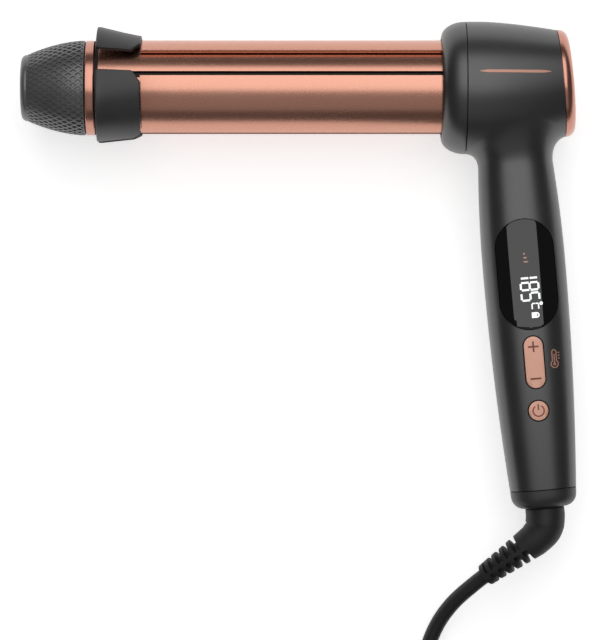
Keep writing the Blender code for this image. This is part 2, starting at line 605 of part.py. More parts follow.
def make_cool_tip(barrel):
    """Tip ring, holder, screw and the hollow tip that stays cool enough to hold."""
    ring_back = TIP_RING_X - TIP_RING_LENGTH
    holder_core = BARREL_RADIUS - BARREL_WALL - GAP - 1.3 * MM
    ring = [(TIP_RING_X, TIP_RING_RADIUS - 0.4 * MM), (TIP_RING_X - 0.4 * MM, TIP_RING_RADIUS),
            (ring_back + 0.4 * MM, TIP_RING_RADIUS), (ring_back, TIP_RING_RADIUS - 0.4 * MM),
            (ring_back, holder_core + GAP), (TIP_RING_X, holder_core + GAP)]
    add_piece("tip_ring", turned(ring, BIG_ROUND), "rose_gold", barrel)

    sleeve = BARREL_RADIUS - BARREL_WALL - GAP
    inside = -BARREL_LENGTH + TIP_HOLDER_LENGTH
    front = COOL_TIP_X - TIP_HOLDER_REACH
    hole = TIP_SCREW_RADIUS + PIN_CLEARANCE
    holder = [(inside, sleeve), (-BARREL_LENGTH, sleeve), (-BARREL_LENGTH, holder_core), (front, holder_core),
              (front, hole), (inside, hole)]
    add_piece("tip_holder", turned(holder, MID_ROUND), "nylon", barrel)
    seat, point = inside + GAP, front - TIP_SCREW_BITE
    top = seat + 1.25 * TIP_SCREW_RADIUS
    screw = [(top, 0), (top, 2 * TIP_SCREW_RADIUS), (seat, 2 * TIP_SCREW_RADIUS), (seat, TIP_SCREW_RADIUS),
             (point, TIP_SCREW_RADIUS), (point, 0)]
    add_piece("tip_screw", turned(screw, SMALL_ROUND), "steel", barrel)

    body = COOL_TIP_LENGTH - COOL_TIP_CORNER
    outer = [(COOL_TIP_X - body * k / 6, cool_tip_radius(body * k / 6)) for k in range(7)]
    middle = (COOL_TIP_X - body, COOL_TIP_NOSE_RADIUS - COOL_TIP_CORNER)
    corner = [(middle[0] - COOL_TIP_CORNER * math.sin(a), middle[1] + COOL_TIP_CORNER * math.cos(a))
              for a in (math.pi / 6, math.pi / 3, math.pi / 2)]
    room = COOL_TIP_LENGTH - 1.5 * COOL_TIP_WALL
    hole_end = front - TIP_SCREW_BITE - MM
    boss_top, boss = front - GAP, 2.5 * TIP_SCREW_RADIUS
    depths = [room * k / 3 for k in (3, 2, 1, 0)]
    cavity = [(COOL_TIP_X - depth, cool_tip_radius(depth) - COOL_TIP_WALL) for depth in depths]
    tip = (outer + corner + [(NOSE_X, 0), (hole_end, 0), (hole_end, hole), (boss_top, hole), (boss_top, boss),
                             (COOL_TIP_X - room, boss)] + cavity)
    add_piece("cool_tip", turned(tip, BIG_ROUND), "black_plastic", barrel)


def make_heater(barrel):
    """Two half-round cores press a flat ceramic heater; a sensor and a fuse lie beside it."""
    radius = BARREL_RADIUS - BARREL_WALL - CORE_CLEARANCE
    start = math.asin(CORE_HALF_SLOT / radius)
    to_x = HEATER_FROM_X + HEATER_LENGTH
    for name, side in (("upper", 1), ("lower", -1)):
        half = [(y, side * z) for y, z in arc(radius, start, math.pi - start, 15)]
        rings = [[(x, y, z) for y, z in half] for x in (HEATER_FROM_X, to_x)]
        add_piece(f"heater_core_{name}", skin(bmesh.new(), rings), "aluminium", barrel)
    add_piece("ptc_heater", box((HEATER_FROM_X + 8 * MM, -PTC_HALF_WIDTH, -PTC_HALF_THICKNESS),
                                (to_x - 8 * MM, PTC_HALF_WIDTH, PTC_HALF_THICKNESS)), "ceramic", barrel)
    beside = PTC_HALF_WIDTH + 3 * MM
    middle = HEATER_FROM_X + HEATER_LENGTH / 2
    add_piece("thermistor", rod(1.1 * MM, (middle - 4 * MM, beside, 0), (middle + 4 * MM, beside, 0), 12),
              "ceramic", barrel)
    add_piece("thermal_fuse", rod(1.5 * MM, (middle - 6 * MM, -beside, 0), (middle + 6 * MM, -beside, 0), 12),
              "steel", barrel)


# --- head and handle ----------------------------------------------------------------------------

def make_collar(barrel):
    """Rounded front ring of the head. Its bore leaves room for the flaps to lift."""
    spigot = HEAD_RADIUS - HOUSING_WALL - GAP
    room = spigot - COLLAR_WALL
    rise = HEAD_RADIUS - COLLAR_LIP_RADIUS
    shoulder = [(COLLAR_LENGTH * (1 - math.cos(a)), COLLAR_LIP_RADIUS + rise * math.sin(a))
                for a in (math.pi / 2 * k / 6 for k in range(7))]
    end = COLLAR_LENGTH + COLLAR_SPIGOT
    outline = shoulder + [(COLLAR_LENGTH, spigot), (end, spigot), (end, room), (COLLAR_LIP_DEPTH, room),
                          (COLLAR_LIP_DEPTH, COLLAR_BORE_RADIUS), (0, COLLAR_BORE_RADIUS)]
    add_piece("head_collar", turned(outline, BIG_ROUND), "soft_black", barrel)


def make_head_end_cap(rear):
    """Disc that closes the head, in the frame of the tilted rear plane."""
    inner = HEAD_REAR_RADIUS - HOUSING_WALL - 2 * GAP
    flat = HEAD_REAR_RADIUS - END_CAP_ROUNDING
    rim = [(END_CAP_THICKNESS - END_CAP_ROUNDING * (1 - math.cos(a)), flat + END_CAP_ROUNDING * math.sin(a))
           for a in (math.pi / 2 * k / 5 for k in range(5, -1, -1))]
    recess = END_CAP_THICKNESS - END_CAP_WALL
    hollow = inner - END_CAP_WALL
    outline = [(recess, 0), (recess, hollow), (-END_CAP_SPIGOT, hollow), (-END_CAP_SPIGOT, inner),
               (GAP, inner), (GAP, HEAD_REAR_RADIUS)] + rim + [(END_CAP_THICKNESS, 0)]
    add_piece("head_end_cap", turned(outline, BIG_ROUND), "rose_gold", rear)


def make_cutters(barrel, rear, handle):
    """Solids that shape both halves of the housing, in the order they are used."""
    hollow_head = head_body(HOUSING_WALL, HOUSING_X - 2 * MM, HEAD_REAR_X + 2 * MM)
    hollow_handle = handle_body(HOUSING_WALL, HANDLE_SEAM + 2 * MM)
    steps = [("UNION", add_cutter("handle_outside", handle_body(), handle)),
             ("DIFFERENCE", add_cutter("head_inside", hollow_head, barrel)),
             ("DIFFERENCE", add_cutter("handle_inside", hollow_handle, handle))]
    for number, at in enumerate(BOSSES):
        reach = surface_z(at) - HOUSING_WALL / 2
        boss = rod(BOSS_RADIUS, (0, -at, -reach), (0, -at, reach))
        through = rod(SCREW_RADIUS + PIN_CLEARANCE, (0, -at, -HEAD_RADIUS), (0, -at, SCREW_TOP_Z + MM))
        sunk = rod(SCREW_HEAD_RADIUS + GAP, (0, -at, -HEAD_RADIUS), (0, -at, SCREW_SEAT_Z))
        steps += [("UNION", add_cutter(f"boss_{number}", boss, handle)),
                  ("DIFFERENCE", add_cutter(f"screw_hole_{number}", through, handle)),
                  ("DIFFERENCE", add_cutter(f"screw_sink_{number}", sunk, handle))]
    size = 2 * HEAD_RADIUS
    in_front = box((HOUSING_X - size, -size, -size), (HOUSING_X, size, size))
    behind = box((0, -size, -size), (size, size, size))
    steps += [("DIFFERENCE", add_cutter("ahead_of_seam", in_front, barrel)),
              ("DIFFERENCE", add_cutter("behind_rear_plane", behind, rear))]
    return steps


def make_housings(barrel, rear, handle):
    """Front and rear shells of head and handle, split at the plane of both axes."""
    steps = make_cutters(barrel, rear, handle)
    far = HANDLE_END + HEAD_RADIUS
    halves = {}
    for name, side in (("front", 1), ("rear", -1)):
        shell = add_piece(f"{name}_housing", head_body(), "soft_black", barrel)
        for operation, cutter in steps:
            boolean(shell, operation, cutter)
        low, high = sorted((side * GAP / 2, -side * 2 * HEAD_RADIUS))
        other = box((-far, -far, low), (far, far, high))
        boolean(shell, "DIFFERENCE", add_cutter(f"not_{name}", other, barrel))
        halves[name] = shell
    return halves["front"]


def key_solid(prism, proud, depth, name, handle, parent, finish, pivot):
    """The part of a prism between two levels of the handle's surface."""
    bmesh.ops.translate(prism, vec=-pivot, verts=prism.verts)
    piece = add_piece(name, prism, finish, parent)
    boolean(piece, "INTERSECT", add_cutter(f"{name}_outside", handle_body(-proud), handle))
    boolean(piece, "DIFFERENCE", add_cutter(f"{name}_inside", handle_body(depth), handle))
    return piece


def make_front_pieces(front, handle, rocker_axis, rocker_pivot, power_axis, power_top):
    """Window and keys, and the holes that they sit in."""
    low, high = BOARD_Z + BOARD_THICKNESS, HEAD_RADIUS
    openings = {
        "window_hole": stadium(WINDOW_WIDTH + 2 * GAP, WINDOW_LENGTH + 2 * GAP, -WINDOW_AT, low, high),
        "rocker_hole": stadium(ROCKER_WIDTH + 2 * KEY_CLEARANCE, ROCKER_LENGTH + 2 * KEY_CLEARANCE,
                               -ROCKER_AT, low, high),
        "power_hole": rod(POWER_RADIUS + KEY_CLEARANCE, (0, -POWER_AT, low), (0, -POWER_AT, high), MID_ROUND),
    }
    for name, prism in openings.items():
        boolean(front, "DIFFERENCE", add_cutter(name, prism, handle))
    window = stadium(WINDOW_WIDTH, WINDOW_LENGTH, -WINDOW_AT, low, high)
    key_solid(window, 0.0, WINDOW_THICKNESS, "display_window", handle, handle, "smoked_window", Vector())
    rocker = stadium(ROCKER_WIDTH, ROCKER_LENGTH, -ROCKER_AT, low, high)
    key_solid(rocker, KEY_PROUD, KEY_DEPTH, "temperature_rocker", handle, rocker_axis, "copper_key",
              rocker_pivot)
    power = rod(POWER_RADIUS, (0, -POWER_AT, low), (0, -POWER_AT, high), MID_ROUND)
    key_solid(power, KEY_PROUD, KEY_DEPTH, "power_button", handle, power_axis, "copper_key", power_top)


def make_electronics(handle):
    """Circuit board under the display and keys, with what is soldered to it."""
    top = BOARD_Z + BOARD_THICKNESS
    half = BOARD_HALF_WIDTH
    board = box((-half, -BOARD_TO, BOARD_Z), (half, -BOARD_FROM, top))
    add_piece("control_board", board, "board_green", handle)
    display_half = WINDOW_LENGTH / 2 - 3 * MM
    display_top = surface_z(WINDOW_AT) - HOUSING_WALL - DISPLAY_AIR
    add_piece("display_module", box((-DISPLAY_HALF_WIDTH, -WINDOW_AT - display_half, top + GAP),
                                    (DISPLAY_HALF_WIDTH, -WINDOW_AT + display_half, display_top)),
              "smoked_window", handle)
    switch_top = top + GAP + SWITCH_HEIGHT
    rocker_end = ROCKER_LENGTH / 2 - ROCKER_WIDTH / 2
    switches = {"up": ROCKER_AT - rocker_end, "down": ROCKER_AT + rocker_end, "power": POWER_AT}
    for name, at in switches.items():
        bm = box((-3 * MM, -at - 3 * MM, top + GAP), (3 * MM, -at + 3 * MM, switch_top - MM))
        body = add_piece(f"tact_switch_{name}", bm, "black_plastic", handle)
        plunger = rod(1.7 * MM, (0, -at, switch_top - 2 * MM), (0, -at, switch_top), 12)
        boolean(body, "UNION", add_cutter(f"plunger_{name}", plunger, handle))
    low = switch_top + GAP
    add_piece("button_membrane", box((-6 * MM, -POWER_AT - 6 * MM, low),
                                     (6 * MM, -ROCKER_AT + ROCKER_LENGTH / 2 + MM, low + MEMBRANE_THICKNESS)),
              "silicone", handle)

    under = BOARD_Z - GAP
    for name, (half_width, start, end, height), drop, finish in (
            ("triac", TRIAC, 0.0, "black_plastic"), ("film_capacitor", FILM_CAPACITOR, 0.0, "wire_red"),
            ("triac_heat_sink", HEAT_SINK, TRIAC[3] + GAP, "aluminium")):
        block = box((-half_width, -end, under - drop - height), (half_width, -start, under - drop))
        add_piece(name, block, finish, handle)
    fuse_z = under - FUSE_RADIUS
    fuse = rod(FUSE_RADIUS, (-FUSE_HALF_LENGTH, -FUSE_AT, fuse_z), (FUSE_HALF_LENGTH, -FUSE_AT, fuse_z), 12)
    add_piece("board_fuse", fuse, "ceramic", handle)
    buzzer = rod(BUZZER_RADIUS, (0, -BUZZER_AT, under - BUZZER_RADIUS), (0, -BUZZER_AT, under), MID_ROUND)
    add_piece("buzzer", buzzer, "black_plastic", handle)


def make_screws(handle):
    """The two screws that hold the shells together, sunk in the rear one."""
    seat = SCREW_SEAT_Z - GAP
    outline = [(seat - SCREW_HEAD_HEIGHT, 0), (seat - SCREW_HEAD_HEIGHT, SCREW_HEAD_RADIUS),
               (seat, SCREW_HEAD_RADIUS), (seat, SCREW_RADIUS), (SCREW_TOP_Z, SCREW_RADIUS), (SCREW_TOP_Z, 0)]
    for name, at in zip(("upper", "lower"), BOSSES):
        screw = turned(outline, 12, "Z")
        bmesh.ops.translate(screw, vec=(0, -at, 0), verts=screw.verts)
        add_piece(f"housing_screw_{name}", screw, "steel", handle)


def make_wires(barrel, handle):
    """Heater and sensor leads through the barrel's base, and mains leads from the swivel."""
    board_z = BOARD_Z + BOARD_THICKNESS / 2
    heater_end = HEATER_FROM_X + HEATER_LENGTH - 8 * MM + GAP
    across = Vector((math.cos(HANDLE_LEAN), math.sin(HANDLE_LEAN), 0))
    edge = Vector((HANDLE_X, 0, board_z)) + DOWN_HANDLE * (BOARD_FROM - 2 * GAP)
    for name, y, side, drop, gauge, finish in (
            ("heater_lead_live", -3.2 * MM, -5.5 * MM, 0.0, LEAD_RADIUS, "wire_red"),
            ("heater_lead_neutral", 3.2 * MM, 5.0 * MM, 0.0, LEAD_RADIUS, "black_plastic"),
            ("sensor_lead", 0.0, 8.0 * MM, 3.4 * MM, 0.6 * MM, "ceramic")):
        end = edge + across * side
        path = [Vector((heater_end, y, 0)), Vector((heater_end + 14 * MM, y, 0)), Vector((0, y, drop)),
                Vector((BASE_FLANGE_X + 4 * MM, y - MM, drop + MM)),
                Vector((end.x - 3 * MM, y - 9 * MM, drop + 3 * MM)),
                end - DOWN_HANDLE * 22 * MM + Vector((0, 0, drop / 2)), end]
        add_cord_tube(name, smooth_route(path, 6 * MM), gauge, finish, barrel)
    for name, side, finish in (("mains_lead_live", -MAINS_LEAD_SIDE, "wire_red"),
                               ("mains_lead_neutral", MAINS_LEAD_SIDE, "black_plastic")):
        path = [Vector((side, -BRUSH_FROM + GAP, 2 * MM)), Vector((side, -BOSSES[1], 3 * MM)),
                Vector((side, -BOARD_TO - GAP, board_z))]
        add_cord_tube(name, smooth_route(path, 3 * MM), LEAD_RADIUS, finish, handle)


# --- handle end, swivel and cord ----------------------------------------------------------------

def make_handle_end(handle):
    """End cap with its spigot, the swivel's bush and the brush block above it."""
    spigot = HOUSING_WALL + GAP
    rings = [handle_ring(HANDLE_SEAM - END_SPIGOT, spigot), handle_ring(HANDLE_SEAM + GAP, spigot),
             handle_ring(HANDLE_SEAM + GAP)]
    corner = HANDLE_END - END_ROUNDING
    for k in range(6):
        a = math.pi / 2 * k / 5
        shrink = END_ROUNDING * (1 - math.cos(a))
        rings.append(handle_ring(corner + END_ROUNDING * math.sin(a), shrink))
    cap = add_piece("handle_end_cap", skin(bmesh.new(), rings), "black_plastic", handle)
    bore = rod(BUSH_RADIUS + GAP, (0, -HANDLE_SEAM + 2 * END_SPIGOT, 0), (0, -HANDLE_END - MM, 0), MID_ROUND)
    boolean(cap, "DIFFERENCE", add_cutter("bush_bore", bore, handle))
    low, high = -HANDLE_END, -HANDLE_END + BUSH_HEIGHT
    bush = [(low, BUSH_RADIUS), (high, BUSH_RADIUS), (high, STEM_RADIUS + GAP), (low, STEM_RADIUS + GAP)]
    add_piece("swivel_bush", turned(bush, MID_ROUND, "Y"), "nylon", handle)
    block = box((-BRUSH_HALF_WIDTH, -BRUSH_TO, -BRUSH_HALF_DEPTH),
                (BRUSH_HALF_WIDTH, -BRUSH_FROM, BRUSH_HALF_DEPTH))
    brush = add_piece("brush_block", block, "black_plastic", handle)
    bore = rod(ROTOR_RADIUS + GAP, (0, -BRUSH_TO - MM, 0), (0, -BRUSH_FROM - MM, 0), SMALL_ROUND)
    boolean(brush, "DIFFERENCE", add_cutter("brush_bore", bore, handle))


def rounded_ring(centre, half_y, half_z, power, steps=MID_ROUND):
    """A rounded section across X, from an ellipse at power 2 to nearly square."""
    ring = []
    for i in range(steps):
        a = 2 * math.pi * (i + 0.5) / steps
        c, s = math.cos(a), math.sin(a)
        ring.append(centre + Vector((0, math.copysign(abs(c) ** (2 / power), c) * half_y,
                                     math.copysign(abs(s) ** (2 / power), s) * half_z)))
    return ring


def make_strain_relief(swivel):
    """Swivelling boot: a stem with a head that the bush holds, and a bent, tapered sleeve."""
    up = -DOWN_HANDLE
    head_low = BUSH_HEIGHT + GAP
    head_high = head_low + STEM_HEAD_HEIGHT
    stem = [(head_high, STEM_HEAD_RADIUS), (head_low, STEM_HEAD_RADIUS), (head_low, STEM_RADIUS),
            (-GAP, STEM_RADIUS)]
    stations = [(up * height, DOWN_HANDLE, radius) for height, radius in stem]
    sleeve = smooth_route(ROUTE, 2.6 * MM, 0.0, BOOT_LENGTH)
    count = len(sleeve) - 1
    for i, spot in enumerate(sleeve):
        share = max(0.0, (i / count - 0.15) / 0.85)
        radius = BOOT_RADIUS - (BOOT_RADIUS - BOOT_END_RADIUS) * share ** 0.8
        ahead = sleeve[min(i + 1, count)] - sleeve[max(i - 1, 0)]
        if i == 0:
            spot, ahead = DOWN_HANDLE * GAP, DOWN_HANDLE
        stations.append((spot, ahead, radius))
    add_piece("strain_relief", tube_along(stations, MID_ROUND), "rubber", swivel)
    rotor_top = HANDLE_END - BRUSH_FROM - 2 * MM
    add_piece("slip_ring_rotor", rod(ROTOR_RADIUS, up * (head_high + GAP), up * rotor_top), "brass", swivel)


def make_cord(swivel):
    """Cord to the coil, the coil, its tie, and the plug that lies on top of it."""
    route = smooth_route(ROUTE, 3.6 * MM, BOOT_LENGTH + GAP)
    add_cord_tube("cord", route, CORD_RADIUS, "rubber", swivel)

    outer = COIL_MEAN_RADIUS + COIL_LANES * CORD_RADIUS + GAP
    inner = COIL_MEAN_RADIUS - COIL_LANES * CORD_RADIUS - GAP
    low = -HEAD_RADIUS + COIL_TIE_THICKNESS + GAP
    high = low + COIL_LAYERS * 2 * CORD_RADIUS + GAP
    cut = 1.6 * MM
    outline = [(low, outer - cut), (low + cut, outer), (high - cut, outer), (high, outer - cut),
               (high, inner + cut), (high - cut, inner), (low + cut, inner), (low, inner + cut)]
    ring = turned(outline, BIG_ROUND, "Z")
    bmesh.ops.translate(ring, vec=(COIL_CENTRE[0], COIL_CENTRE[1], 0), verts=ring.verts)
    add_piece("cord_coil", ring, "rubber", swivel)

    turn = Matrix.Translation((COIL_CENTRE[0], COIL_CENTRE[1], 0)) @ Matrix.Rotation(COIL_TIE_ANGLE, 4, "Z")
    half = COIL_TIE_WIDTH / 2
    room = GAP + half * half / inner
    loop = box((inner - room - COIL_TIE_THICKNESS, -half, low - GAP - COIL_TIE_THICKNESS),
               (outer + GAP + COIL_TIE_THICKNESS, half, high + GAP + COIL_TIE_THICKNESS))
    loop.transform(turn)
    tie = add_piece("cord_tie", loop, "silicone", swivel)
    space = box((inner - room, -2 * half, low - GAP), (outer + GAP, 2 * half, high + GAP))
    space.transform(turn)
    boolean(tie, "DIFFERENCE", add_cutter("tie_space", space, swivel))

    centre = Vector((*COIL_CENTRE, high + GAP + CORD_RADIUS))
    plug_rise = PLUG_DEPTH / 2 - CORD_RADIUS
    rises = [0.0] * (len(TAIL_POINTS) - 3) + [plug_rise / 2, plug_rise, plug_rise]
    tail = [Vector((x * MM, y * MM, rise)) for (x, y), rise in zip(TAIL_POINTS, rises)]
    turn = Matrix.Translation(centre) @ Matrix.Rotation(TAIL_TURN, 4, "Z")
    add_cord_tube("cord_tail", [turn @ p for p in smooth_route(tail, 5 * MM)], CORD_RADIUS, "rubber", swivel)
    make_plug(swivel, turn @ Matrix.Translation(tail[-1] + Vector((-GAP, 0, 0))))


def make_plug(swivel, place):
    """Two-pin plug, built along its own -X from the end of the cord and then put in place."""
    sections = [(0, 3 * CORD_RADIUS, 3 * CORD_RADIUS, 2.0), (PLUG_NECK, 11.5 * MM, 10.4 * MM, 2.2),
                (PLUG_NECK + 0.08 * PLUG_LENGTH, 0.57 * PLUG_WIDTH, 0.87 * PLUG_DEPTH, 2.6),
                (PLUG_NECK + 0.21 * PLUG_LENGTH, 0.88 * PLUG_WIDTH, 0.98 * PLUG_DEPTH, 3.0),
                (PLUG_NECK + 0.33 * PLUG_LENGTH, PLUG_WIDTH, PLUG_DEPTH, 3.4),
                (PLUG_NECK + PLUG_LENGTH, PLUG_WIDTH - MM, PLUG_DEPTH - 0.6 * MM, 3.4)]
    body = skin(bmesh.new(), [rounded_ring(Vector((-along, 0, 0)), width / 2, depth / 2, power)
                              for along, width, depth, power in sections])
    body.transform(place)
    add_piece("plug_body", body, "black_plastic", swivel)
    face = -(PLUG_NECK + PLUG_LENGTH + GAP)
    for name, side in (("left", -1), ("right", 1)):
        y = side * PLUG_PIN_SPACING / 2
        pin = rod(PLUG_PIN_RADIUS, (face, y, 0), (face - PLUG_PIN_LENGTH, y, 0))
        pin.transform(place)
        add_piece(f"plug_pin_{name}", pin, "steel", swivel)


def build():
    clear_scene()
    barrel = joint_empty("barrel_frame", OFFSET)
    lean = Matrix.Rotation(HANDLE_LEAN, 3, "Z")
    rear = joint_empty("rear_frame", OFFSET + Vector((HEAD_REAR_X, HEAD_REAR_RISE, 0)), lean)
    handle = joint_empty("handle_frame", OFFSET + Vector((HANDLE_X, 0, 0)), lean)
    swivel = joint_empty("cord_swivel", OFFSET + Vector((HANDLE_X, 0, 0)) + DOWN_HANDLE * HANDLE_END)
    flap_frames = {}
    for name, degrees in FLAP_ANGLES.items():
        turn = Matrix.Rotation(-math.radians(degrees), 3, "X")
        place = OFFSET + Vector((HINGE_X, 0, 0)) + turn @ Vector((0, 0, HINGE_RADIUS))
        flap_frames[name] = joint_empty(f"flap_hinge_{name}", place, turn)
    rocker_pivot = Vector((0, -ROCKER_AT, surface_z(ROCKER_AT) - ROCKER_PIVOT_DEPTH))
    rocker = joint_empty("rocker_hinge", handle.matrix_world @ rocker_pivot, lean)
    power_top = Vector((0, -POWER_AT, surface_z(POWER_AT)))
    power = joint_empty("power_slide", handle.matrix_world @ power_top, lean)

    make_inner_barrel(barrel)
    make_barrel_base(barrel, flap_frames)
    for name, frame in flap_frames.items():
        make_flap(name, frame)
        make_flap_tip(name, frame)
        make_flap_hinge(name, frame)
    make_cool_tip(barrel)
    make_heater(barrel)
    make_collar(barrel)
    make_head_end_cap(rear)
    front = make_housings(barrel, rear, handle)
    make_front_pieces(front, handle, rocker, rocker_pivot, power, power_top)
    make_electronics(handle)
    make_screws(handle)
    make_wires(barrel, handle)
    make_handle_end(handle)
    make_strain_relief(swivel)
    make_cord(swivel)


build()
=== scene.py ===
# %% [markdown]
# Curling iron with three sprung flaps, a handle at right angles to the barrel and a mains lead.
# The moving solids come first as a fixed frame. Everything that is added here is placed from the
# sizes of that frame, in metres, and rides on one of its bodies.

# %% Load the frame
from math import atan2, copysign, cos, degrees, hypot, pi, radians, sin, sqrt

import bmesh
import bpy
from mathutils import Matrix, Vector


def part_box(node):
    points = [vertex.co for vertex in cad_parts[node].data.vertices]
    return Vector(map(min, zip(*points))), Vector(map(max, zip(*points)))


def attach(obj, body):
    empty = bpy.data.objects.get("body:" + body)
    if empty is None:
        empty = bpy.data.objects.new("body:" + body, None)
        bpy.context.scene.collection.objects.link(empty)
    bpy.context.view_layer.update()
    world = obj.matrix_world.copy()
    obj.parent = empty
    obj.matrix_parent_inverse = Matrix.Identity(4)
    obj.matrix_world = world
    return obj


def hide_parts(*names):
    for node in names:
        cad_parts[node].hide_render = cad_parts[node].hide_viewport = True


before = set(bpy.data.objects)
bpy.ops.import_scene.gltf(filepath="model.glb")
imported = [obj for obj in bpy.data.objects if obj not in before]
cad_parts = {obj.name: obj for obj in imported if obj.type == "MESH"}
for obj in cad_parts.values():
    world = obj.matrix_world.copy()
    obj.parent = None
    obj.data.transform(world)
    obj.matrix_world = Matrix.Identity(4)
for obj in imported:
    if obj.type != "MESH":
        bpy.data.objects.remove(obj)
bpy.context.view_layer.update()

MM = 0.001

# %% [markdown]
# Two directions rule the iron: the barrel lies along X, and the handle leans a few degrees from
# the right angle to it. Each piece is modelled in the frame of the part that it belongs to and
# then settled, so that its place ends up in its mesh and its object stays at the origin.

# %% Frames of the barrel, the end cap, the handle and the swivel
LEAN = radians(4.88)
HEAD_RADIUS = 26.4 * MM
HANDLE_X = 27.05 * MM
HEAD_REAR_X, HEAD_REAR_RISE = 47.5 * MM, 1.8 * MM
HANDLE_END = 167.8 * MM
BARREL_LENGTH, TIP_WIDEST = 137.5 * MM, 18.9 * MM
AXIS = Vector((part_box("inner_barrel")[0][0] + BARREL_LENGTH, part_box("cool_tip")[0][1] + TIP_WIDEST,
               HEAD_RADIUS))
LEANING = Matrix.Rotation(LEAN, 4, "Z")
BARREL = Matrix.Translation(AXIS)
REAR = Matrix.Translation(AXIS + Vector((HEAD_REAR_X, HEAD_REAR_RISE, 0))) @ LEANING
HANDLE = Matrix.Translation(AXIS + Vector((HANDLE_X, 0, 0))) @ LEANING
SWIVEL = HANDLE @ Vector((0, -HANDLE_END, 0))
print("barrel axis", [round(v, 5) for v in AXIS], "swivel", [round(v, 5) for v in SWIVEL])

# %% [markdown]
# The camera looks straight down on the iron from a metre and a half, with a long lens, so that
# the barrel and the handle keep their true proportions.

# %% Camera
CAMERA_HEIGHT, CAMERA_LENS = 1.5, 211.4
camera_data = bpy.data.cameras.new("camera")
camera_data.lens = CAMERA_LENS
camera = bpy.data.objects.new("camera", camera_data)
camera.location = (0.0005, -0.0218, AXIS.z + CAMERA_HEIGHT)
bpy.context.collection.objects.link(camera)
bpy.context.scene.camera = camera
print("camera stands at", [round(v, 4) for v in camera.location])

# %% [markdown]
# The mains lead is 1.8 m of round rubber cord. It leaves the swivel through a bent sleeve, sinks
# to the floor and ends in a coil of three lanes and three layers, with the plug on top. A curve
# with a round bevel is the natural way to make it.

# %% A smooth line through points
def spread(first, last, count):
    return [first + (last - first) * k / count for k in range(count + 1)]


def ease(share):
    return share * share * (3 - 2 * share)


def smooth_line(points, spacing, start=0.0, stop=None):
    """Points every spacing along a Catmull-Rom curve, from the distance start to stop."""
    ends = [2 * points[0] - points[1]] + points + [2 * points[-1] - points[-2]]
    fine = []
    for a, b, c, d in zip(ends, ends[1:], ends[2:], ends[3:]):
        for i in range(24):
            t = i / 24
            fine.append(0.5 * (2 * b + (c - a) * t + (2 * a - 5 * b + 4 * c - d) * t * t
                               + (3 * b - a - 3 * c + d) * t ** 3))
    fine.append(points[-1].copy())
    reach = [0.0]
    for p, q in zip(fine, fine[1:]):
        reach.append(reach[-1] + (q - p).length)
    stop = stop or reach[-1]
    count = max(2, round((stop - start) / spacing))
    line, at = [], 0
    for i in range(count + 1):
        want = start + (stop - start) * i / count
        while at < len(reach) - 2 and reach[at + 1] < want:
            at += 1
        share = (want - reach[at]) / max(reach[at + 1] - reach[at], 1e-12)
        line.append(fine[at].lerp(fine[at + 1], min(share, 1.0)))
    return line


# %% [markdown]
# The cord's way is given by the points of its fall to the floor, then by a loop for the coil,
# then by the tail that climbs over the coil to the plug. Each turn changes lane within 75 degrees.

# %% The way of the cord
CORD_RADIUS = 3.1 * MM
SLEEVE_LENGTH = 38.0 * MM
COIL_MEAN, COIL_LOW = 34.0 * MM, -25.5 * MM
COIL_CENTRE = Vector((-2.3, -104.0, 0)) * MM
TAIL_TURN = Matrix.Rotation(radians(42), 3, "Z")
way = [(0.1, -1.2, 0), (0.3, -3.8, 0), (-0.4, -8.6, 0), (-3.4, -12.4, -0.2), (-6.2, -14.7, -0.6),
       (-13.0, -19.8, -2.2), (-20.4, -25.4, -5.4), (-28.6, -32.2, -10.0), (-36.0, -39.4, -14.8),
       (-41.8, -47.8, -19.0), (-45.8, -57.6, -21.9), (-48.0, -68.0, -23.1), (-49.0, -80.0, -23.25),
       (-49.3, -92.0, -23.25), (-49.3, -104.0, -23.25)]
tail = [(17.0, -29.4), (24.7, -22.6), (29.3, -13.3), (29.6, -2.4), (25.6, 7.6), (17.6, 15.2),
        (8.0, 18.8), (2.0, 19.2)]
way = [Vector(p) * MM for p in way]
PITCH = 2 * CORD_RADIUS
lanes = [(1, 0), (0, 0), (-1, 0), (-1, 1), (0, 1), (1, 1), (1, 2), (0, 2), (-1, 2)]
lanes = [(COIL_MEAN + lane * PITCH, layer * PITCH) for lane, layer in lanes]
TURNS, STEPS = 7.45, 16
coil = []
for i in range(1, int(TURNS * STEPS) + 1):
    turned = 2 * pi * TURNS * i / int(TURNS * STEPS)
    lane = int(turned / (2 * pi))
    before = lanes[lane - 1] if lane else (COIL_MEAN + 2.1 * PITCH, 0.0)
    now = lanes[lane]
    share = min((turned - 2 * pi * lane) / radians(75), 1.0)
    radius = before[0] + (now[0] - before[0]) * ease(share)
    height = before[1] + (now[1] - before[1]) * ease(share)
    if before[1] != now[1]:
        radius += copysign(2.4 * MM, now[0] - COIL_MEAN) * sin(pi * share)
    side = Vector((cos(pi + turned), sin(pi + turned), 0))
    coil.append(COIL_CENTRE + radius * side + Vector((0, 0, COIL_LOW + CORD_RADIUS + height)))
tail_z = COIL_LOW + 3 * PITCH + 0.6 * MM + CORD_RADIUS
rises = [0.0] * (len(tail) - 3) + [1.875 * MM, 3.75 * MM, 3.75 * MM]
tail = [COIL_CENTRE + TAIL_TURN @ Vector((x * MM, y * MM, 0)) + Vector((0, 0, tail_z + rise))
        for (x, y), rise in zip(tail, rises)]
cord_points = [SWIVEL + p for p in smooth_line(way + coil[:-2] + tail[1:], 2.5 * MM, SLEEVE_LENGTH)]
print("cord points:", len(cord_points))

# %% [markdown]
# The curve has one spline through all the points. The radius of each point is the cord's own, so
# that the curve's box ends at its surface.

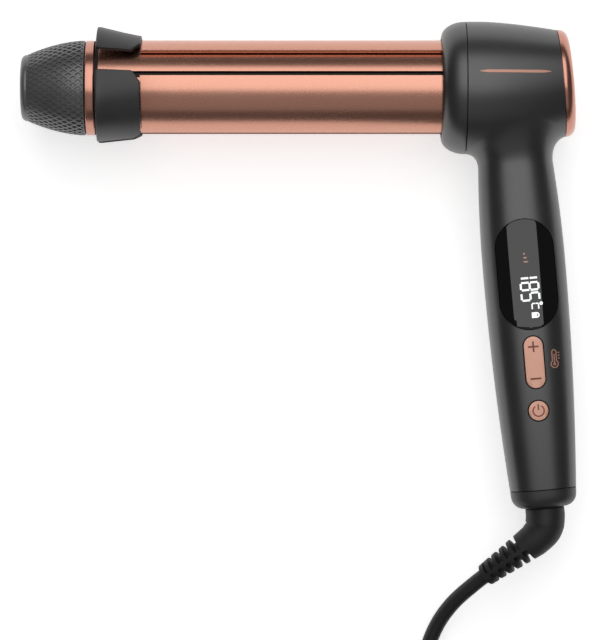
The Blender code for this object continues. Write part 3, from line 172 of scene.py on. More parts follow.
# %% The cord as one curve
curve = bpy.data.curves.new("mains_cord", "CURVE")
curve.dimensions = "3D"
curve.bevel_depth = 1.0  # times each point's own radius
curve.bevel_resolution = 5
curve.use_fill_caps = True
spline = curve.splines.new("POLY")
spline.points.add(len(cord_points) - 1)
for spot, p in zip(spline.points, cord_points):
    spot.co = (*p, 1)
    spot.radius = CORD_RADIUS
mains_cord = bpy.data.objects.new("mains_cord", curve)
bpy.context.collection.objects.link(mains_cord)
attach(mains_cord, "cord_set")
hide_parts("cord", "cord_coil", "cord_tail")

# %% [markdown]
# A real surface is never one flat colour. One function turns the colours into what the shader
# expects, one adds a node, and one builds a finish from a slow mottle, a fine grain and a bump.

# %% Colour, node and finish
def hex_colour(code):
    """An sRGB hex colour as linear red, green, blue, alpha."""
    channels = [int(code[i:i + 2], 16) / 255 for i in (0, 2, 4)]
    return (*[c / 12.92 if c <= 0.04045 else ((c + 0.055) / 1.055) ** 2.4 for c in channels], 1.0)


def add_node(tree, kind, inputs, **settings):
    """Add a node, set its properties, and give its inputs a value or a link."""
    made = tree.nodes.new("ShaderNode" + kind)
    for name, value in settings.items():
        setattr(made, name, value)
    for name, value in inputs.items():
        if isinstance(value, bpy.types.NodeSocket):
            tree.links.new(value, made.inputs[name])
        else:
            made.inputs[name].default_value = value
    return made


def make_finish(name, light, dark, roughness, metallic=0.0, ior=1.5, grain=0.5, depth=0.01,
                mottle=14.0, stretch=(1, 1, 1), shine=0.06, **constants):
    """A surface between two colours. Grain and mottle are sizes in mm, depth is the bump in mm."""
    finish = bpy.data.materials.new(name)
    finish.use_nodes = True
    tree = finish.node_tree
    shader = tree.nodes["Principled BSDF"]
    shader.inputs["Metallic"].default_value = metallic
    if metallic < 1:
        shader.inputs["IOR"].default_value = ior
    for socket, value in constants.items():
        shader.inputs[socket.replace("_", " ")].default_value = value
    place = add_node(tree, "TexCoord", {})
    turn = add_node(tree, "Mapping", {"Vector": place.outputs["Object"], "Scale": stretch})
    where = turn.outputs["Vector"]
    slow = add_node(tree, "TexNoise", {"Vector": where, "Scale": 1 / (mottle * MM),
                                       "Detail": 3.0})
    fine = add_node(tree, "TexNoise", {"Vector": where, "Scale": 1 / (grain * MM),
                                       "Detail": 2.0, "Roughness": 0.6})
    both = add_node(tree, "Mix", {"Factor": 0.35, "A": slow.outputs["Fac"],
                                  "B": fine.outputs["Fac"]}, data_type="FLOAT")
    tint = add_node(tree, "ValToRGB", {"Fac": both.outputs[0]})
    tint.color_ramp.elements[0].position, tint.color_ramp.elements[0].color = 0.35, hex_colour(dark)
    tint.color_ramp.elements[1].position, tint.color_ramp.elements[1].color = 0.65, hex_colour(light)
    gloss = add_node(tree, "MapRange", {"Value": both.outputs[0], "From Min": 0.3,
                                        "From Max": 0.7, "To Min": roughness - shine / 2,
                                        "To Max": roughness + shine / 2})
    tree.links.new(tint.outputs["Color"], shader.inputs["Base Color"])
    tree.links.new(gloss.outputs["Result"], shader.inputs["Roughness"])
    if depth:
        bump = add_node(tree, "Bump", {"Height": fine.outputs["Fac"], "Strength": 0.6,
                                       "Distance": depth * MM})
        tree.links.new(bump.outputs["Normal"], shader.inputs["Normal"])
    return finish


# %% [markdown]
# Metals of the iron. The flaps and the barrel are aluminium tube, blasted fine and anodised rose
# gold: a soft sheen with wide, blurred highlights. The trim ring and the disc behind the head are
# plated plastic, a little darker and glossier. A metal keeps the default IOR.

# %% Metal finishes
rose_anodised = make_finish("rose_anodised_aluminium", "CD9682", "C9917D", 0.27, 1.0, grain=0.5,
                            depth=0, stretch=(0.2, 1, 1), shine=0.03)
rose_plated = make_finish("rose_plated_trim", "C79080", "C18A7A", 0.26, 1.0, grain=0.5, depth=0,
                          shine=0.04)
nickel = make_finish("nickel_plated_brass", "D3D0C8", "C6C3BB", 0.22, 1.0, grain=0.3, depth=0.001)
spring_steel = make_finish("zinc_plated_steel", "BDBFC2", "A9ABAF", 0.32, 1.0, grain=0.4, depth=0.002)
cast_aluminium = make_finish("cast_aluminium", "B3B5B8", "9C9EA2", 0.45, 1.0, grain=0.6)
turned_brass = make_finish("turned_brass", "CBA765", "BE9A58", 0.3, 1.0, grain=0.3, depth=0.002,
                           stretch=(1, 8, 1))

# %% [markdown]
# Plastics and rubbers. The handle and the head wear a soft-touch lacquer that scatters light
# widely. The flap ends, the tip and the handle's end are heat-proof moulded plastic with a finer
# spark-eroded grain. The window is smoked polycarbonate, polished on both sides.

# %% Plastic finishes
soft_touch = make_finish("soft_touch_lacquer", "19191A", "151516", 0.37, ior=1.56, grain=0.22,
                         depth=0.004, shine=0.05, Specular_IOR_Level=1.0)
moulded_black = make_finish("glass_filled_nylon_black", "2C2C2D", "252526", 0.44, ior=1.55,
                            grain=0.3, shine=0.08, Specular_IOR_Level=0.57)
# Painted shade: a near-black red for the deep gaps beside the flap edges and at the tube's free end.
painted_gap_shade = make_finish("heat_proof_silicone_seal", "1C0F0C", "160B09", 0.6, ior=1.41, grain=0.3,
                           depth=0.005, shine=0.05)
# The knurled tip is the same moulded plastic as the flap ends. Its lighter grey is painted highlight
# for the light that its ridges catch.
knurl_black_painted_highlight = make_finish("knurled_nylon_black", "5A5A5B", "4C4C4D", 0.33, ior=1.55, grain=0.3,
                            shine=0.08, Specular_IOR_Level=1.0)
smoked_window = make_finish("smoked_polycarbonate", "050506", "040405", 0.04, ior=1.585, grain=2.0,
                            depth=0, shine=0.01)
copper_lacquer = make_finish("copper_lacquered_abs", "EBB39D", "E4AB95", 0.38, 0.35, ior=1.53,
                             grain=0.25, depth=0.004)
rubber = make_finish("moulded_tpe_rubber", "1D1D1E", "171718", 0.56, ior=1.52, grain=0.35)
plug_pvc = make_finish("moulded_pvc_plug", "222223", "1C1C1D", 0.45, ior=1.54, grain=0.5, depth=0.008)
silicone = make_finish("silicone_strap", "2E2E30", "272729", 0.6, ior=1.41, grain=0.5)
nylon_grey = make_finish("heat_proof_nylon", "C9C3B4", "B9B3A4", 0.55, ior=1.53, grain=0.5)
ceramic = make_finish("alumina_ceramic", "E4E0D6", "D8D3C8", 0.5, ior=1.77, grain=0.2, depth=0.004)
board_resin = make_finish("solder_mask_on_glass_board", "1E5B38", "194E30", 0.35, ior=1.55,
                          grain=0.8, mottle=5.0)
epoxy_black = make_finish("epoxy_black", "222224", "1A1A1C", 0.4, ior=1.55, grain=0.4, depth=0.006)
epoxy_red = make_finish("epoxy_dipped_red", "8E2B22", "7E241D", 0.35, ior=1.55, grain=0.8, depth=0.006)
silicone_red = make_finish("silicone_lead_red", "A33529", "952D23", 0.5, ior=1.41, grain=0.6,
                           depth=0.008)
silicone_black = make_finish("silicone_lead_black", "232325", "1B1B1D", 0.5, ior=1.41, grain=0.6,
                             depth=0.008)
glass_sleeve = make_finish("glass_fibre_sleeve", "E2DED2", "CFCABC", 0.7, grain=0.4, depth=0.03)
mark_ink = make_finish("brown_pad_ink", "94503F", "8A4939", 0.5, grain=0.2, depth=0)
print_ink = make_finish("copper_pad_ink", "D9A18C", "CE9681", 0.42, 0.3, grain=0.2, depth=0)
lit_display = make_finish("lit_display_segments", "F4F6F6", "EEF1F1", 0.4, grain=0.3, depth=0,
                          Emission_Color=hex_colour("F2F6F6"), Emission_Strength=0.75)

# %% [markdown]
# The solids that stay inside keep their exact shape. They are seen only through the gaps of an
# opened flap, but each gets the finish of the real thing all the same.

# %% Finishes of the carried solids
kept = {
    nylon_grey: ["barrel_base", "tip_holder", "swivel_bush"],
    spring_steel: ["hinge_pin_top", "hinge_pin_front", "hinge_pin_rear", "flap_spring_top",
                   "flap_spring_front", "flap_spring_rear", "tip_screw", "thermal_fuse"],
    cast_aluminium: ["heater_core_upper", "heater_core_lower", "triac_heat_sink"],
    ceramic: ["ptc_heater", "thermistor", "board_fuse"],
    glass_sleeve: ["sensor_lead"],
    silicone_red: ["heater_lead_live", "mains_lead_live"],
    silicone_black: ["heater_lead_neutral", "mains_lead_neutral"],
    board_resin: ["control_board"],
    epoxy_black: ["display_module", "tact_switch_up", "tact_switch_down", "tact_switch_power", "triac",
                  "buzzer", "brush_block"],
    epoxy_red: ["film_capacitor"],
    silicone: ["button_membrane"],
    turned_brass: ["slip_ring_rotor"],
}
for finish, names in kept.items():
    for name in names:
        for holder in bpy.data.objects[name].material_slots:
            holder.material = finish
print("carried solids with a finish:", sum(len(names) for names in kept.values()))

# %% [markdown]
# An operator acts on everything that is selected, so each piece starts with nothing selected.
# Edges get a small bevel at the end, because a real moulding has no sharp edge.

# %% Start, edit and finish a piece
def start_piece(name):
    piece = bpy.context.active_object
    piece.name = piece.data.name = name
    return piece


def only(piece):
    if bpy.context.mode != "OBJECT":
        bpy.ops.object.mode_set(mode="OBJECT")
    bpy.ops.object.select_all(action="DESELECT")
    piece.select_set(True)
    bpy.context.view_layer.objects.active = piece


def edit(piece, kind="FACE"):
    """Open a piece in edit mode with nothing selected."""
    only(piece)
    bpy.ops.object.mode_set(mode="EDIT")
    bpy.ops.mesh.select_mode(type=kind)
    bpy.ops.mesh.select_all(action="DESELECT")


WELD = 1e-6


def clean(weld=None):
    """Weld the open piece when a distance is given, and turn all its faces outward."""
    if weld:
        bpy.ops.mesh.select_all(action="SELECT")
        bpy.ops.mesh.remove_doubles(threshold=weld)
    bpy.ops.mesh.select_all(action="SELECT")
    bpy.ops.mesh.normals_make_consistent(inside=False)


def drop_slivers(piece):
    """Take away the faces without area that a profile leaves where it meets its axis."""
    edit(piece)
    bpy.ops.mesh.select_all(action="SELECT")
    bpy.ops.mesh.dissolve_degenerate(threshold=1e-7)
    bpy.ops.mesh.delete_loose(use_verts=True, use_edges=True, use_faces=False)


def choose(piece, kind, rule):
    """Select the faces, edges or verts of the open piece that the rule picks."""
    mesh = bmesh.from_edit_mesh(piece.data)
    for part in getattr(mesh, kind):
        part.select_set(bool(rule(part)))
    mesh.select_flush_mode()
    bmesh.update_edit_mesh(piece.data)


def apply_modifier(piece, kind, **settings):
    only(piece)
    step = piece.modifiers.new(kind.lower(), kind)
    for name, value in settings.items():
        setattr(step, name, value)
    bpy.ops.object.modifier_apply(modifier=step.name)


def cut(piece, tool, operation="DIFFERENCE"):
    """Join, cut or intersect a piece with a tool, which is used up."""
    apply_modifier(piece, "BOOLEAN", operation=operation, solver="EXACT", object=tool)
    bpy.data.objects.remove(tool, do_unlink=True)


def soften(piece, width=0.0, segments=3, smooth=35):
    """Bevel the sharp edges and shade the rest smooth."""
    if width:
        apply_modifier(piece, "BEVEL", width=width, segments=segments, limit_method="ANGLE",
                       angle_limit=radians(40), harden_normals=False)
    only(piece)
    bpy.ops.object.shade_smooth_by_angle(angle=radians(smooth))


def settle(piece, place):
    """Put the place of a piece into its mesh."""
    only(piece)
    piece.matrix_world = place
    bpy.ops.object.transform_apply(location=True, rotation=True, scale=True)


def hand_over(piece, place, body, finish, slot, *nodes):
    """Settle a piece, give it its body and finish, and hide the solids that it stands for. The slot is
    not used.
    """
    settle(piece, place)
    piece.data.materials.clear()
    piece.data.materials.append(finish)
    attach(piece, body)
    if nodes:
        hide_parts(*nodes)
    print(piece.name, "faces", len(piece.data.polygons))


def copy_of(piece, name):
    twin = piece.copy()
    twin.data = piece.data.copy()
    twin.name = twin.data.name = name
    bpy.context.collection.objects.link(twin)
    return twin


# %% [markdown]
# Three ways to make a body cover nearly all of this iron. A turned piece is a profile extruded
# point by point and spun round an axis. A sleeve is a cylinder cut into rings, each of which is
# moved to its section. A plate is a grid laid on a curved surface and thickened.

# %% Turned piece
def in_mm(*points):
    return [(along * MM, radius * MM) for along, radius in points]


def turned_piece(name, profile, steps=128):
    """Extrude a closed (along, radius) profile from one point and spin it round X."""
    bpy.ops.object.select_all(action="DESELECT")
    bpy.ops.mesh.primitive_plane_add(size=MM)
    piece = start_piece(name)
    bpy.ops.object.mode_set(mode="EDIT")
    bpy.ops.mesh.select_mode(type="VERT")
    bpy.ops.mesh.select_all(action="SELECT")
    bpy.ops.mesh.merge(type="CENTER")
    at = Vector((profile[0][0], 0, profile[0][1]))
    bpy.ops.transform.translate(value=at)
    for x, r in profile[1:] + profile[:1]:
        to = Vector((x, 0, r))
        bpy.ops.mesh.extrude_region_move(TRANSFORM_OT_translate={"value": to - at})
        at = to
    bpy.ops.mesh.select_all(action="SELECT")
    bpy.ops.mesh.remove_doubles(threshold=1e-7)
    bpy.ops.mesh.select_all(action="SELECT")
    bpy.ops.mesh.spin(steps=steps, angle=2 * pi, center=(0, 0, 0), axis=(1, 0, 0))
    clean(WELD)
    bpy.ops.object.mode_set(mode="OBJECT")
    return piece


def bow(centre, radius, start, end, count):
    """Points of an arc, with angles in degrees."""
    angles = [radians(angle) for angle in spread(start, end, count)]
    return [(centre[0] + radius * cos(a), centre[1] + radius * sin(a)) for a in angles]


# %% [markdown]
# The sleeve. The cylinder stands on end, so the height of a vertex tells its ring.

# %% Sleeve of rings
def sleeve(name, around, stations, place, ends="NGON"):
    """A cylinder cut into rings. place(angle, station) says where each vertex goes."""
    bpy.ops.object.select_all(action="DESELECT")
    bpy.ops.mesh.primitive_cylinder_add(vertices=around, radius=1, depth=1, end_fill_type=ends)
    piece = start_piece(name)
    edit(piece, "EDGE")
    choose(piece, "edges", lambda e: abs(e.verts[0].co.z - e.verts[1].co.z) > 0.5)
    bpy.ops.mesh.subdivide(number_cuts=len(stations) - 2)
    bpy.ops.object.mode_set(mode="OBJECT")
    last = len(stations) - 1
    for vertex in piece.data.vertices:
        ring = round((vertex.co.z + 0.5) * last)
        vertex.co = place(atan2(vertex.co.y, vertex.co.x), stations[ring])
    piece.data.update()
    edit(piece)
    clean()
    bpy.ops.object.mode_set(mode="OBJECT")
    return piece


# %% [markdown]
# The plate. A thickness of nothing leaves it a bare surface, for what gets its own later.

# %% Plate on a surface
def plate(name, across, stations, place, thickness):
    """A grid laid out by place(share from -1 to 1, station), thickened inwards."""
    bpy.ops.object.select_all(action="DESELECT")
    bpy.ops.mesh.primitive_grid_add(x_subdivisions=len(stations) - 1, y_subdivisions=across, size=2)
    piece = start_piece(name)
    last = len(stations) - 1
    for vertex in piece.data.vertices:
        vertex.co = place(vertex.co.y, stations[round((vertex.co.x + 1) / 2 * last)])
    piece.data.update()
    if thickness:
        apply_modifier(piece, "SOLIDIFY", thickness=thickness, offset=-1.0)
    return piece


# %% [markdown]
# The inner barrel is a tube seen in the gaps between the flaps, with a sunk channel beside one
# edge of each flap. Its channel floors, its bore and a band at its free end are painted near-black
# red as painted shade for the dark gaps there. The trim ring closes the barrel at the tip.

# %% Inner barrel and trim ring
BARREL_OUTER, BARREL_INNER = 17.2 * MM, 15.7 * MM
TUBE_FROM, SHADE_BAND_TO, TUBE_TO = -137.5 * MM, -136.2 * MM, 1.0 * MM
CHANNEL_FROM, CHANNEL_TO, CHANNEL_DEEP = 11.5, 18.7, 1.15 * MM      # degrees, degrees, depth
TUBE_RINGS = [(TUBE_FROM, BARREL_OUTER), (SHADE_BAND_TO, BARREL_OUTER), (TUBE_TO, BARREL_OUTER),
              (TUBE_TO, BARREL_INNER), (TUBE_FROM, BARREL_INNER), (TUBE_FROM, BARREL_OUTER)]


def round_barrel(x, radius, angle):
    return Vector((x, radius * sin(angle), radius * cos(angle)))


def tube_place(angle, ring):
    """The tube, with a sunk channel beside one edge of each flap."""
    x, radius = ring
    turn = degrees(angle) % 120
    if radius == BARREL_OUTER and CHANNEL_FROM < turn < CHANNEL_TO:
        radius -= CHANNEL_DEEP
    return round_barrel(x, radius, angle)


inner = sleeve("barrel_tube", 240, TUBE_RINGS, tube_place, "NOTHING")
edit(inner)
clean(WELD)
soften(inner)
hand_over(inner, BARREL, "iron", rose_anodised, "rose_metal", "inner_barrel")
inner.data.materials.append(painted_gap_shade)
# The channel floors, the bore and the band at the free end take the painted shade.
for face in inner.data.polygons:
    centre = BARREL.inverted() @ face.center
    if centre.x < SHADE_BAND_TO or hypot(centre.y, centre.z) < BARREL_OUTER - 0.5 * MM:
        face.material_index = 1

ring = turned_piece("trim_ring", in_mm((-137.8, 18.9), (-137.8, 14.4), (-141.4, 14.4), (-141.4, 18.9)))
soften(ring, 0.4 * MM, 4)
hand_over(ring, BARREL, "iron", rose_plated, "rose_trim", "tip_ring")

# %% [markdown]
# Each flap is a pressed shell of anodised aluminium, a third of the way round the barrel, with a
# heat-proof plastic end that flares out so that hair slips under it. They are modelled once,
# pointing up, and copied to the other two places with their own meshes.

# %% One flap and its end
FLAP_TURNS = {"top": 90.0, "front": -30.0, "rear": -150.0}
FLAP_OUTER = 19.0 * MM
FLAP_FREE_X, FLAP_TIP_X = -136.9 * MM, -119.6 * MM
TIP_LENGTH = FLAP_TIP_X - FLAP_FREE_X
FLAP_HALF, TIP_HALF = radians(42), radians(46.5)


def flap_end_radius(share, along):
    """The end rises from the metal towards its free edge, most in the middle."""
    middle = max(cos(share * pi / 2), 0.0) ** 1.5
    return FLAP_OUTER + (0.15 + along ** 1.15 * (1.8 + 2.1 * middle)) * MM


def flap_end_place(share, down):
    half = TIP_HALF - radians(12) * max(0.0, 1 - down / (3.3 * MM))
    near_end = max(0.0, down - (TIP_LENGTH - 1.6 * MM)) / (1.6 * MM)
    half *= 1 - 0.02 * near_end ** 2
    radius = flap_end_radius(share, down / TIP_LENGTH) - 0.25 * MM * near_end ** 2
    return round_barrel(FLAP_TIP_X - down, radius, share * half)


metal_stations = [FLAP_TIP_X + 0.15 * MM + (8.5 * MM - FLAP_TIP_X) * i / 10 for i in range(11)]
metal = plate("flap_metal_top", 40, metal_stations,
              lambda share, x: round_barrel(x, FLAP_OUTER, share * FLAP_HALF), 1.2 * MM)
bpy.ops.mesh.primitive_cube_add(size=1)
lug = bpy.context.active_object
lug.scale = (4.0 * MM, 5.0 * MM, 7.0 * MM)
lug.location = (6.6 * MM, 0, 14.9 * MM)
only(lug)
bpy.ops.object.transform_apply(location=True, rotation=True, scale=True)
cut(metal, lug, "UNION")
end_stations = [3.3 * MM * i / 4 for i in range(4)]
end_stations += [3.3 * MM + (TIP_LENGTH - 3.3 * MM) * i / 16 for i in range(17)]
end = plate("flap_end_top", 40, end_stations, flap_end_place, 1.6 * MM)
for piece, finish, slot, width in ((metal, rose_anodised, "rose_metal", 0.25 * MM),
                                   (end, moulded_black, "hard_black", 0.4 * MM)):
    edit(piece)
    clean()
    soften(piece, width)
    node = "flap" if piece is metal else "flap_tip"
    shells = {place: copy_of(piece, piece.name.replace("top", place)) for place in ("front", "rear")}
    shells["top"] = piece
    for place, shell in shells.items():
        turn = Matrix.Rotation(-radians(FLAP_TURNS[place]), 4, "X")
        hand_over(shell, BARREL @ turn, f"{place}_flap", finish, slot, f"{node}_{place}")

# %% [markdown]
# The cool tip is what the other hand holds, so its moulded jacket is knurled: two sets of raised
# ridges cross and leave rows of small diamond pits. A grid round the barrel is poked, the old
# edges between the pokes are dissolved, and what is left are diamonds. Each row of them is then
# inset and pushed in, deep next to the ring and shallow towards the nose.

# %% Cool tip
RING_SIDE = -141.7 * MM
TIP_RADIUS, NOSE_RADIUS, NOSE_CORNER = TIP_WIDEST, 13.2 * MM, 2.2 * MM
TIP_BODY = 23.4 * MM
DIAMOND, DIAMOND_ROWS, DIAMONDS_ROUND = 3.8 * MM, 6, 42
KNURL_START = 0.3 * MM


def tip_radius(distance):
    return TIP_RADIUS - (TIP_RADIUS - NOSE_RADIUS) * min(max(distance, 0) / TIP_BODY, 1.0) ** 1.8


knurl_x = [RING_SIDE - KNURL_START - DIAMOND * i for i in range(DIAMOND_ROWS + 1)]
knurl = sleeve("knurled_tip", DIAMONDS_ROUND, knurl_x,
               lambda a, x: round_barrel(x, TIP_RADIUS, a), "NOTHING")
edit(knurl, "FACE")
bpy.ops.mesh.select_all(action="SELECT")
bpy.ops.mesh.poke()


def on_a_ring(vertex):
    rows = (knurl_x[0] - vertex.co.x) / DIAMOND
    return abs(rows - round(rows)) < 0.1


edit(knurl, "EDGE")
choose(knurl, "edges", lambda e: all(on_a_ring(v) for v in e.verts) and not e.is_boundary)
bpy.ops.mesh.dissolve_edges(use_verts=False)
bpy.ops.object.mode_set(mode="OBJECT")
for vertex in knurl.data.vertices:
    vertex.co.yz = vertex.co.yz.normalized() * TIP_RADIUS
edit(knurl, "FACE")
mesh = bmesh.from_edit_mesh(knurl.data)
mesh.faces.ensure_lookup_table()
face = mesh.faces[0]
face.normal_update()
if face.normal.dot(face.calc_center_median() - Vector((face.calc_center_median().x, 0, 0))) < 0:
    bpy.ops.mesh.select_all(action="SELECT")
    bpy.ops.mesh.flip_normals()
for row in range(2 * DIAMOND_ROWS + 1):
    row_x = knurl_x[0] - row * DIAMOND / 2
    share = row / (2 * DIAMOND_ROWS)
    bpy.ops.mesh.select_all(action="DESELECT")
    choose(knurl, "faces", lambda f: abs(f.calc_center_median().x - row_x) < DIAMOND / 5
           and all(v.co.yz.length > TIP_RADIUS - 0.02 * MM for v in f.verts))
    pit = (0.68 - 0.3 * share) * MM
    bpy.ops.mesh.inset(thickness=(0.3 + 0.06 * share) * MM, depth=0, use_individual=True)
    bpy.ops.mesh.inset(thickness=0.22 * MM, depth=-pit, use_individual=True)
for side_x in (knurl_x[0], knurl_x[-1]):
    edit(knurl, "EDGE")
    choose(knurl, "edges",
           lambda e: e.is_boundary and all(abs(v.co.x - side_x) < 0.01 * MM for v in e.verts))
    bpy.ops.mesh.extrude_edges_move()
    bpy.ops.transform.resize(value=(1, 0.93, 0.93), center_override=(side_x, 0, 0))
bpy.ops.object.mode_set(mode="OBJECT")
for vertex in knurl.data.vertices:
    reach = vertex.co.yz.length
    vertex.co.yz *= (reach - TIP_RADIUS + tip_radius(RING_SIDE - vertex.co.x)) / reach

CORE_DEEP = 0.75 * MM      # how far the core lies under the knurl's ridges
steps_down = [(RING_SIDE - d * MM, tip_radius(d * MM) - CORE_DEEP)
              for d in (0.8, 4, 8, 12, 16, 19, 22.2)]
smooth_from = KNURL_START + DIAMOND * DIAMOND_ROWS
nose = bow((RING_SIDE - TIP_BODY, NOSE_RADIUS - NOSE_CORNER), NOSE_CORNER, 90, 178, 8)
core_profile = ([(RING_SIDE, 15.0 * MM), (RING_SIDE, TIP_RADIUS - 0.5 * MM),
                 (RING_SIDE - 0.25 * MM, TIP_RADIUS - 0.2 * MM),
                 (RING_SIDE - 0.5 * MM, TIP_RADIUS - CORE_DEEP)]
                + steps_down
                + [(RING_SIDE - smooth_from + 0.1 * MM, tip_radius(smooth_from) - 0.2 * MM)]
                + nose + [(RING_SIDE - 25.55 * MM, 6.0 * MM), (RING_SIDE - 25.6 * MM, 0.0),
                          (RING_SIDE - 22.0 * MM, 0.0), (RING_SIDE - 22.0 * MM, 10.5 * MM)])
core = turned_piece("knurl_core", core_profile)
drop_slivers(core)
only(knurl)
core.select_set(True)
bpy.ops.object.join()
soften(knurl, 0, smooth=24)
# The tip's lighter grey is painted highlight.
hand_over(knurl, BARREL, "iron", knurl_black_painted_highlight, "hard_black", "cool_tip")

# %% [markdown]
# The head is closed in front by a rounded collar with room for the flaps to lift, and behind by
# a plated disc whose rim is seen from the front as a rose crescent.

# %% Collar and disc
LIP, BORE = 20.2 * MM, 19.8 * MM
COLLAR_LENGTH, COLLAR_SEAT = 9.5 * MM, 22.0 * MM
shoulder = [(COLLAR_LENGTH * (1 - cos(a)), LIP + (HEAD_RADIUS - LIP) * sin(a))
            for a in spread(0, pi / 2, 20)]
back = [(COLLAR_LENGTH, COLLAR_SEAT), (2.0 * MM, COLLAR_SEAT), (2.0 * MM, BORE), (0.0, BORE)]
collar = turned_piece("head_collar_ring", shoulder + back, 160)
soften(collar, 0.12 * MM, 2)
hand_over(collar, BARREL, "iron", soft_touch, "soft_black", "head_collar")

rim = bow((0.7 * MM, 17.8 * MM), 3.6 * MM, 90, 0, 14)
disc_profile = (in_mm((0.3, 21.4)) + rim
                + in_mm((4.3, 14.6), (4.1, 14.4), (4.1, 14.0), (4.3, 13.8), (4.3, 0.0), (2.1, 0.0),
                        (2.1, 16.0), (-3.0, 16.0), (-3.0, 18.7), (0.3, 18.7)))
disc = turned_piece("head_disc", disc_profile, 160)
drop_slivers(disc)
soften(disc, 0)
hand_over(disc, REAR, "iron", rose_plated, "rose_trim", "head_end_cap")

# %% [markdown]
# Head and handle are two shells that meet at the middle plane. The outside is made first: a
# sleeve for the head, a sleeve for the handle whose upper end spreads into a fillet and lies
# down on the head's surface, and one union. A smaller solid of the same shape is cut out of it
# as the hollow. Each shell is then the half on one side of the seam, with its openings cut in.

# %% Shape of the handle
NECK_AT, GRIP_AT, SEAM_AT = 30.8 * MM, 72.0 * MM, 160.3 * MM
HALF_WIDTHS, HALF_DEPTHS = (14.9 * MM, 16.5 * MM, 13.2 * MM), (14.4 * MM, 15.4 * MM, 12.6 * MM)
SQUARE = 2.5                            # 2 is an ellipse, more is squarer
HEAD_STRAIGHT_X = 16.0 * MM


def swell(at, sizes):
    neck, grip, end = sizes
    if at < GRIP_AT:
        return grip - (grip - neck) * ((GRIP_AT - at) / (GRIP_AT - NECK_AT)) ** 2
    return grip - (grip - end) * ((at - GRIP_AT) / (SEAM_AT - GRIP_AT)) ** 2


def signed_power(value, power):
    return copysign(abs(value) ** power, value)


def rounded(angle, half_width, half_depth):
    return (signed_power(cos(angle), 2 / SQUARE) * half_width,
            signed_power(sin(angle), 2 / SQUARE) * half_depth)


def grip_place(angle, at, proud=0.0):
    x, z = rounded(angle, swell(at, HALF_WIDTHS) + proud, swell(at, HALF_DEPTHS) + proud)
    return Vector((x, -at, z))


def face_height(across, down):
    """Height of the handle's front face over its axis."""
    share = min(abs(across) / swell(down, HALF_WIDTHS), 1.0)
    return swell(down, HALF_DEPTHS) * (1 - share ** SQUARE) ** (1 / SQUARE)


# %% [markdown]
# The head is a tube that tapers, rises and leans towards its rear. The fillet runs from the neck
# to the head's underside as a quadratic curve, tangent to both.

# %% Shape of the head
def head_sizes(x):
    share = max(0.0, (x - HEAD_STRAIGHT_X) / (HEAD_REAR_X - HEAD_STRAIGHT_X))
    return HEAD_RADIUS - 5.0 * MM * share ** 1.5, HEAD_REAR_RISE * share ** 1.5, LEAN * share


def head_place(angle, x, inset=0.0):
    radius, rise, lean = head_sizes(x)
    radius -= inset
    y, z = radius * cos(angle), radius * sin(angle)
    return Vector((x - y * sin(lean), rise + y * cos(lean), z))


HANDLE_IN_BARREL = BARREL.inverted() @ HANDLE


def under_head(x, z):
    """Height, in the handle's frame, of the head's underside over a point of the handle's plan."""
    y = -22 * MM
    for _ in range(8):
        spot = HANDLE_IN_BARREL @ Vector((x, y, z))
        ring_x = spot.x
        for _ in range(3):
            radius, rise, lean = head_sizes(ring_x)
            drop = -sqrt(max(radius ** 2 - z ** 2, 1e-8))
            ring_x = spot.x + drop * sin(lean)
        y += rise + drop * cos(lean) - spot.y
    return y


def skirt_place(angle, up):
    """The fillet: from the neck at up 0 to the head's surface at up 1."""
    width, depth = HALF_WIDTHS[0], HALF_DEPTHS[0]
    x, z = rounded(angle, width, depth)
    out = Vector((signed_power(x / width, 1.5) / width,
                  signed_power(z / depth, 1.5) / depth)).normalized()
    reach = hypot(out.x * (6.4 if x > 0 else 5.2), out.y * 6.6) * MM
    foot_x, foot_z = x + out.x * reach, z + out.y * reach
    foot = under_head(foot_x, foot_z)
    small = 0.4 * MM
    slope = (foot - under_head(foot_x - out.x * small, foot_z - out.y * small)) / small
    bend = foot - reach * slope
    y = (1 - up) ** 2 * -NECK_AT + 2 * up * (1 - up) * bend + up ** 2 * (foot + 0.1 * MM)
    return Vector((x + out.x * reach * up ** 2, y, z + out.y * reach * up ** 2))


def handle_place(angle, station):
    kind, value = station
    if kind == "root":
        x, z = rounded(angle, 13 * MM, 13 * MM)
        return Vector((x, -value, z))
    return skirt_place(angle, value) if kind == "skirt" else grip_place(angle, value)


# %% [markdown]
# The outside and the hollow are each a union of a head and a stem, and the one is cut out of the
# other.

# %% The outside of head and handle
handle_stations = [("root", 8 * MM)] + [("skirt", 1 - k / 12) for k in range(13)]
handle_stations += [("grip", NECK_AT + (SEAM_AT - NECK_AT) * k / 44) for k in range(1, 45)]
HEAD_FROM = 9.8 * MM
outside = sleeve("outside", 160, spread(HEAD_FROM, HEAD_REAR_X, 26), head_place)
stem = sleeve("stem", 144, handle_stations, handle_place)
settle(stem, HANDLE_IN_BARREL)
cut(outside, stem, "UNION")
WALL = 2.1 * MM


def hollow_stem_place(angle, at):
    """The handle less its wall, straight above the neck."""
    return grip_place(angle, max(at, NECK_AT), -WALL) + Vector((0, max(NECK_AT - at, 0), 0))


hollow = sleeve("hollow", 80, [7 * MM + 44 * MM * k / 16 for k in range(17)],
                lambda a, x: head_place(a, x, WALL))
hollow_stem = sleeve("hollow_stem", 72, [12 * MM + (SEAM_AT - 10 * MM) * k / 20 for k in range(21)],
                     hollow_stem_place)
settle(hollow_stem, HANDLE_IN_BARREL)
cut(hollow, hollow_stem, "UNION")
cut(outside, hollow)
print("outside faces", len(outside.data.polygons))


def block(low, high):
    """A plain box, used up as a tool."""
    bpy.ops.object.select_all(action="DESELECT")
    bpy.ops.mesh.primitive_cube_add(size=1)
    tool = start_piece("block")
    low, high = Vector(low), Vector(high)
    settle(tool, Matrix.Translation((low + high) / 2) @ Matrix.Diagonal((*(high - low), 1)))
    return tool


# %% [markdown]
# The openings, the bosses and the screw holes are round-ended prisms on the handle's middle line.

